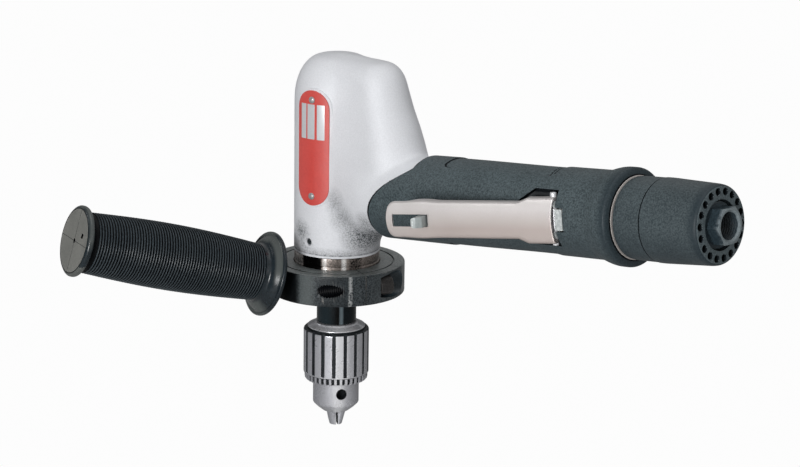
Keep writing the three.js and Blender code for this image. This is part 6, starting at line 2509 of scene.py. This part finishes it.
@dataclass
class Muffler(SubAssembly):
    """The retaining ring, the adapter and the cap with its ring of exhaust holes."""

    ring: Corner = (17.5, 20.9)
    ring_span: Corner = (212.35, 212.68)
    adapter_radius: float = 20.8
    adapter_span: Corner = (213.2, 229.7)
    spigot: float = 19.0
    spigot_end: float = 236.0
    bore: float = 17.5
    cap_radius: float = 21.0
    cap_end_radius: float = 19.8
    cap_start: float = 230.1
    cap_end: float = 263.7
    hole_ring: float = 16.3
    hole_radius: float = 1.75
    holes: int = 18
    hub: float = 12.3

    def build(self) -> list[bpy.types.Object]:
        """Builds the three turned pieces."""
        turned = HandleFrame().turned
        inner, outer = self.ring
        start, end = self.ring_span
        ring = [(inner, start, 0.1), (outer, start, 0.2), (outer, end, 0.2), (inner, end, 0.1)]
        piece = raw_object("bright_ring", lathe(softened(ring, 3, True), 144, True), turned)
        self.finish_piece(piece, [RING_STEEL], Body.DRILL, ["retaining_ring"])
        start, end = self.adapter_span
        adapter = [
            (self.bore, start, 0), (self.adapter_radius - 0.4, start, 0.5),
            (self.adapter_radius, start + 2.2, 1.2),
            (self.adapter_radius, end, 0.35), (self.spigot, end, 0),
            (self.spigot, self.spigot_end, 0.3), (self.bore, self.spigot_end, 0),
        ]
        piece = raw_object("exhaust_adapter", lathe(softened(adapter, 4, True), 144, True), turned)
        # painted shade in the seam at the adapter's end
        paint(piece, 1, lambda point: point.z > self.adapter_span[1] - 0.2, turned)
        self.finish_piece(piece, [MUFFLER_PAINT, MUFFLER_SHADED], Body.DRILL, ["muffler_adapter"])
        end = self.cap_end
        cap = [
            (self.hub, end, 0.3), (self.hub, end - 0.9, 0), (11.9, end - 0.9, 0),
            (11.9, end - 3.2, 0), (17.4, end - 3.2, 0),
            (17.4, 236.3, 0), (19.3, 236.3, 0), (19.3, self.cap_start, 0),
            (self.cap_radius, self.cap_start, 0.35),
            (self.cap_radius, self.cap_start + 3.5, 2.0),
            (self.cap_end_radius + 0.05, end - 3.0, 0.9),
            (self.cap_end_radius - 0.3, end - 0.9, 0.8), (self.cap_end_radius - 1.3, end, 0.6),
        ]
        piece = raw_object("exhaust_cap", lathe(softened(cap, 5, True), 180, True), turned)
        tool = [
            (0, end - 6), (self.hole_radius, end - 6), (self.hole_radius, end - 0.3),
            (self.hole_radius + 0.35, end + 0.2), (0, end + 0.2)
        ]
        tools = Draft()
        for number in range(self.holes):
            angle = 360 * (number + 0.8) / self.holes
            tools.add(lathe(tool, 28), turn("Z", -angle) @ shift(-self.hole_ring, 0, 0))
        shape(piece, [tools], turned)
        # painted light on the end face
        paint(piece, 2, lambda point: point.z > self.cap_end - 0.25, turned)
        # painted shade in the exhaust holes, round the hub and in the seam at the cap's start
        paint(piece, 1, self._in_cap_holes, turned)
        paint(piece, 1, lambda point: point.z < self.cap_start + 0.25, turned)
        self.finish_piece(
            piece, [MUFFLER_PAINT, MUFFLER_SHADED, LIT_END_PAINT], Body.DRILL, ["muffler_cap"]
        )
        return self.made

    def _in_cap_holes(self, point: Vector) -> bool:
        """Whether a point of the cap lies in an exhaust hole or in the gap round the hub."""
        reach = math.hypot(point.x, point.y)
        in_holes = abs(
            reach - self.hole_ring
        ) < self.hole_radius + 0.2 and self.cap_end - 5 < point.z < self.cap_end - 0.12
        return in_holes or (reach < self.hub + 0.1 and point.z > self.cap_end - 4)


@dataclass
class AirInlet(SubAssembly):
    """The inlet bushing: a round hub, a chamfered hexagon and a threaded bore."""

    tube: float = 10.4
    hub: float = 11.6
    body: float = 7.9
    start: float = 222.0
    shoulder: float = 243.3
    flange: float = 258.0
    hub_end: float = 262.4
    hex_end: float = 269.4
    flats: float = 17.5
    bore: float = 6.85
    thread_depth: float = 0.5
    thread_pitch: float = 1.41
    bore_depth: float = 18.0

    def build(self) -> list[bpy.types.Object]:
        """Builds the bushing."""
        turned = HandleFrame().turned
        profile = [
            (0, self.start, 0), (self.body, self.start, 0.4), (self.body, self.shoulder, 0),
            (self.tube, self.shoulder, 0),
            (self.tube, self.flange, 0), (self.hub, self.flange, 0), (self.hub, self.hub_end, 0.7),
            (0, self.hub_end, 0),
        ]
        bushing = raw_object("inlet_hex", lathe(softened(profile), 96), turned)
        corner = self.flats / math.sqrt(3)
        outline = [
            (
                corner * math.cos(math.radians(30 + 60 * k)),
                corner * math.sin(math.radians(30 + 60 * k)), 0.35
            ) for k in range(6)
        ]
        hexagon = raw_object(
            "hexagon", prism(softened(outline, 3, True), self.hub_end - 2, self.hex_end), turned
        )
        chamfer = [
            (0, 250), (20, 250), (20, self.hex_end - 6), (8.9, self.hex_end), (0, self.hex_end)
        ]
        shape(hexagon, [lathe(chamfer, 96)], turned, Shaping.WITHIN)
        modifier = bushing.modifiers.new("join", "BOOLEAN")
        modifier.operation = Shaping.ON.value
        modifier.solver = "MANIFOLD"
        modifier.object = hexagon
        settle(bushing)
        bpy.data.meshes.remove(hexagon.data)
        floor = self.hex_end - self.bore_depth
        line: list[Corner] = [(0, floor), (self.bore, floor)]
        station = floor + 1.0
        while station + self.thread_pitch < self.hex_end - 0.9:
            line += [
                (self.bore, station + 0.12), (self.bore + self.thread_depth, station + 0.7),
                (self.bore, station + 1.28)
            ]
            station += self.thread_pitch
        line += [
            (self.bore, self.hex_end - 0.9), (self.bore + 1.0, self.hex_end + 0.1),
            (0, self.hex_end + 0.1)
        ]
        shape(bushing, [lathe(line, 80), rod(4.5, self.start - 6, floor + 2, 48)], turned)
        paint(
            bushing, 1,
            lambda point: point.z > self.hex_end - 0.75 and math.hypot(
                point.x, point.y
            ) > self.bore + 0.3,
            turned
        )
        self.finish_piece(bushing, [INLET_DARK, INLET_FACE], Body.DRILL, ["inlet_bushing"])
        return self.made


@dataclass
class CarriedNodes(SubAssembly):
    """The CAD nodes that keep their own shape, and get their finish from the record's slots."""

    frame: dict = field(default_factory=dict)
    # nodes that take the darkened casting, as painted shade
    dark_nodes: tuple[str, ...] = ("handle_core",)

    def build(self) -> list[bpy.types.Object]:
        """Gives every node that still shows its finish."""
        slots = {}
        for part in self.frame["record"]["subparts"]:
            slots[part["node"]] = part["material_slot"]
        for name, node in self.frame["nodes"].items():
            if node.hide_render:
                continue
            finish = DARK_CAST if name in self.dark_nodes else NODE_FINISHES[Slot(slots[name])]
            material = finish.material(self.effects)
            if not node.material_slots:
                node.data.materials.append(material)
            for slot in node.material_slots:
                slot.material = material
            self.made.append(node)
        return self.made


@dataclass
class Studio:
    """The pale floor, the soft lights and the camera."""

    azimuth: float = 44.14
    elevation: float = 14.65
    roll: float = 0.83
    aim: tuple[float, float, float] = (-34.47, 24.03, -1377.56)
    lens: float = 112.5
    sensor: float = 36.0
    floor_height: float = -0.32
    floor_colour: Colour = (0.42, 0.42, 0.42)

    def camera(self) -> None:
        """Sets the camera at the photograph's viewing angle."""
        azimuth, elevation, roll = (
            math.radians(v) for v in (self.azimuth, self.elevation, self.roll)
        )
        right = Vector((math.cos(azimuth), math.sin(azimuth), 0))
        back = Vector(
            (
                math.sin(azimuth) * math.cos(elevation), -math.cos(azimuth) * math.cos(elevation),
                math.sin(elevation)
            )
        )
        up = back.cross(right)
        across = right * math.cos(roll) + up * math.sin(roll)
        upward = up * math.cos(roll) - right * math.sin(roll)
        place = Matrix((across, upward, back)).transposed()
        location = -(place @ Vector(self.aim)) * MILLIMETRE
        data = bpy.data.cameras.new("photo_camera")
        data.lens, data.sensor_width = self.lens, self.sensor
        data.clip_start, data.clip_end = 0.05, 50
        camera = bpy.data.objects.new("photo_camera", data)
        bpy.context.scene.collection.objects.link(camera)
        camera.matrix_world = Matrix.Translation(location) @ place.to_4x4()
        bpy.context.scene.camera = camera

    def light(
        self, name: str, place: Colour, aim: Colour, size: float, power: float,
        colour: Colour = (1, 1, 1)
    ) -> None:
        """Adds a soft square light.

        Args:
            name: the light's name.
            place: where it hangs, in metres.
            aim: what it faces.
            size: its side in metres.
            power: its power in watts.
            colour: its colour.
        """
        data = bpy.data.lights.new(name, "AREA")
        data.size, data.energy, data.color = size, power, colour
        lamp = bpy.data.objects.new(name, data)
        bpy.context.scene.collection.objects.link(lamp)
        lamp.location = place
        lamp.rotation_mode = "QUATERNION"
        lamp.rotation_quaternion = (Vector(aim) - Vector(place)).to_track_quat("-Z", "Y")

    def surroundings(self) -> None:
        """A white room to the eye, with soft bright and dark walls in reflections."""
        world = bpy.data.worlds.new("studio_room")
        bpy.context.scene.world = world
        world.use_nodes = True
        world.node_tree.nodes.clear()
        wires = Wiring(world.node_tree)
        place = wires.node("ShaderNodeTexCoord").outputs["Generated"]
        axes = wires.node("ShaderNodeSeparateXYZ", Vector=place)
        height = wires.spread(axes.outputs["Z"], -0.1, 0.9, 0.3, 1.0)
        side = wires.sum(
            "ADD", wires.sum("MULTIPLY", axes.outputs["X"], -0.72),
            wires.sum("MULTIPLY", axes.outputs["Y"], -0.69)
        )
        dark_side = wires.spread(side, 0.1, 0.7, 1.0, 0.08)
        amount = wires.sum("MULTIPLY", height, dark_side)
        colour = wires.blend(amount, opaque((0.02, 0.022, 0.024)), opaque((0.8, 0.8, 0.8)))
        room = wires.node("ShaderNodeBackground", Color=colour, Strength=0.8)
        wall = wires.node("ShaderNodeBackground", Color=opaque((1, 1, 1)), Strength=1.0)
        mix = wires.node("ShaderNodeMixShader")
        wires.feed(mix, 0, wires.node("ShaderNodeLightPath").outputs["Is Camera Ray"])
        wires.feed(mix, 1, room.outputs[0])
        wires.feed(mix, 2, wall.outputs[0])
        wires.feed(wires.node("ShaderNodeOutputWorld"), "Surface", mix.outputs[0])

    def floor(self) -> None:
        """A wide pale floor well below the tool, as it is held."""
        mesh = bpy.data.meshes.new("studio_floor")
        corners = [(x * 4.0, y * 4.0, self.floor_height) for y in (-1, 1) for x in (-1, 1)]
        mesh.from_pydata(corners, [], [(0, 1, 3, 2)])
        floor = bpy.data.objects.new("studio_floor", mesh)
        bpy.context.scene.collection.objects.link(floor)
        material = bpy.data.materials.new("floor_paper")
        material.use_nodes = True
        wires = Wiring(material.node_tree)
        shader = material.node_tree.nodes["Principled BSDF"]
        noise = wires.node("ShaderNodeTexNoise", Scale=6.0, Detail=3.0)
        low = tuple(0.97 * c for c in self.floor_colour)
        wires.feed(
            shader, "Base Color",
            wires.blend(noise.outputs["Fac"], opaque(self.floor_colour), opaque(low))
        )
        shader.inputs["Roughness"].default_value = 0.9
        paper = wires.node("ShaderNodeEmission", Color=opaque((1.0, 1.0, 1.0)), Strength=0.98)
        mix = wires.node("ShaderNodeMixShader")
        wires.feed(mix, 0, wires.node("ShaderNodeLightPath").outputs["Is Camera Ray"])
        wires.feed(mix, 1, shader.outputs[0])
        wires.feed(mix, 2, paper.outputs[0])
        wires.feed(material.node_tree.nodes["Material Output"], "Surface", mix.outputs[0])
        mesh.materials.append(material)

    def build(self) -> None:
        """Sets up the whole studio."""
        bpy.context.scene.view_settings.view_transform = "Standard"
        self.camera()
        self.surroundings()
        self.floor()
        self.light("key", (0.72, -1.78, 0.22), (0.08, 0, 0), 0.5, 26)
        self.light("left", (-1.5, -0.9, 0.9), (0.0, 0, 0), 0.5, 3)
        self.light("right", (1.9, -0.3, 0.7), (0.15, 0, 0), 0.9, 2)
        self.light("top", (0.1, 0.2, 1.6), (0.05, 0, 0), 1.2, 5)


def main() -> None:
    """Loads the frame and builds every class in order."""
    logging.basicConfig(level=logging.INFO, format="%(message)s")
    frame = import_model()
    effects = SurfaceEffects()
    Studio().build()
    builders: list[SubAssembly] = [
        HeadHousing(effects),
        NamePlate(effects),
        NickelBand(effects),
        ClampCollar(effects),
        SideHandle(effects),
        SpindleNose(effects),
        KeyedChuck(effects),
        RearGrip(effects),
        ThrottleLever(effects),
        LockTab(effects),
        HingeBracket(effects),
        Muffler(effects),
        AirInlet(effects),
        CarriedNodes(effects, frame=frame),
    ]
    for builder in builders:
        for piece in builder.build():
            log.info(
                "%s: %s, %d faces", type(builder).__name__, piece.name, len(piece.data.polygons)
            )


if __name__ == "__main__":
    main()
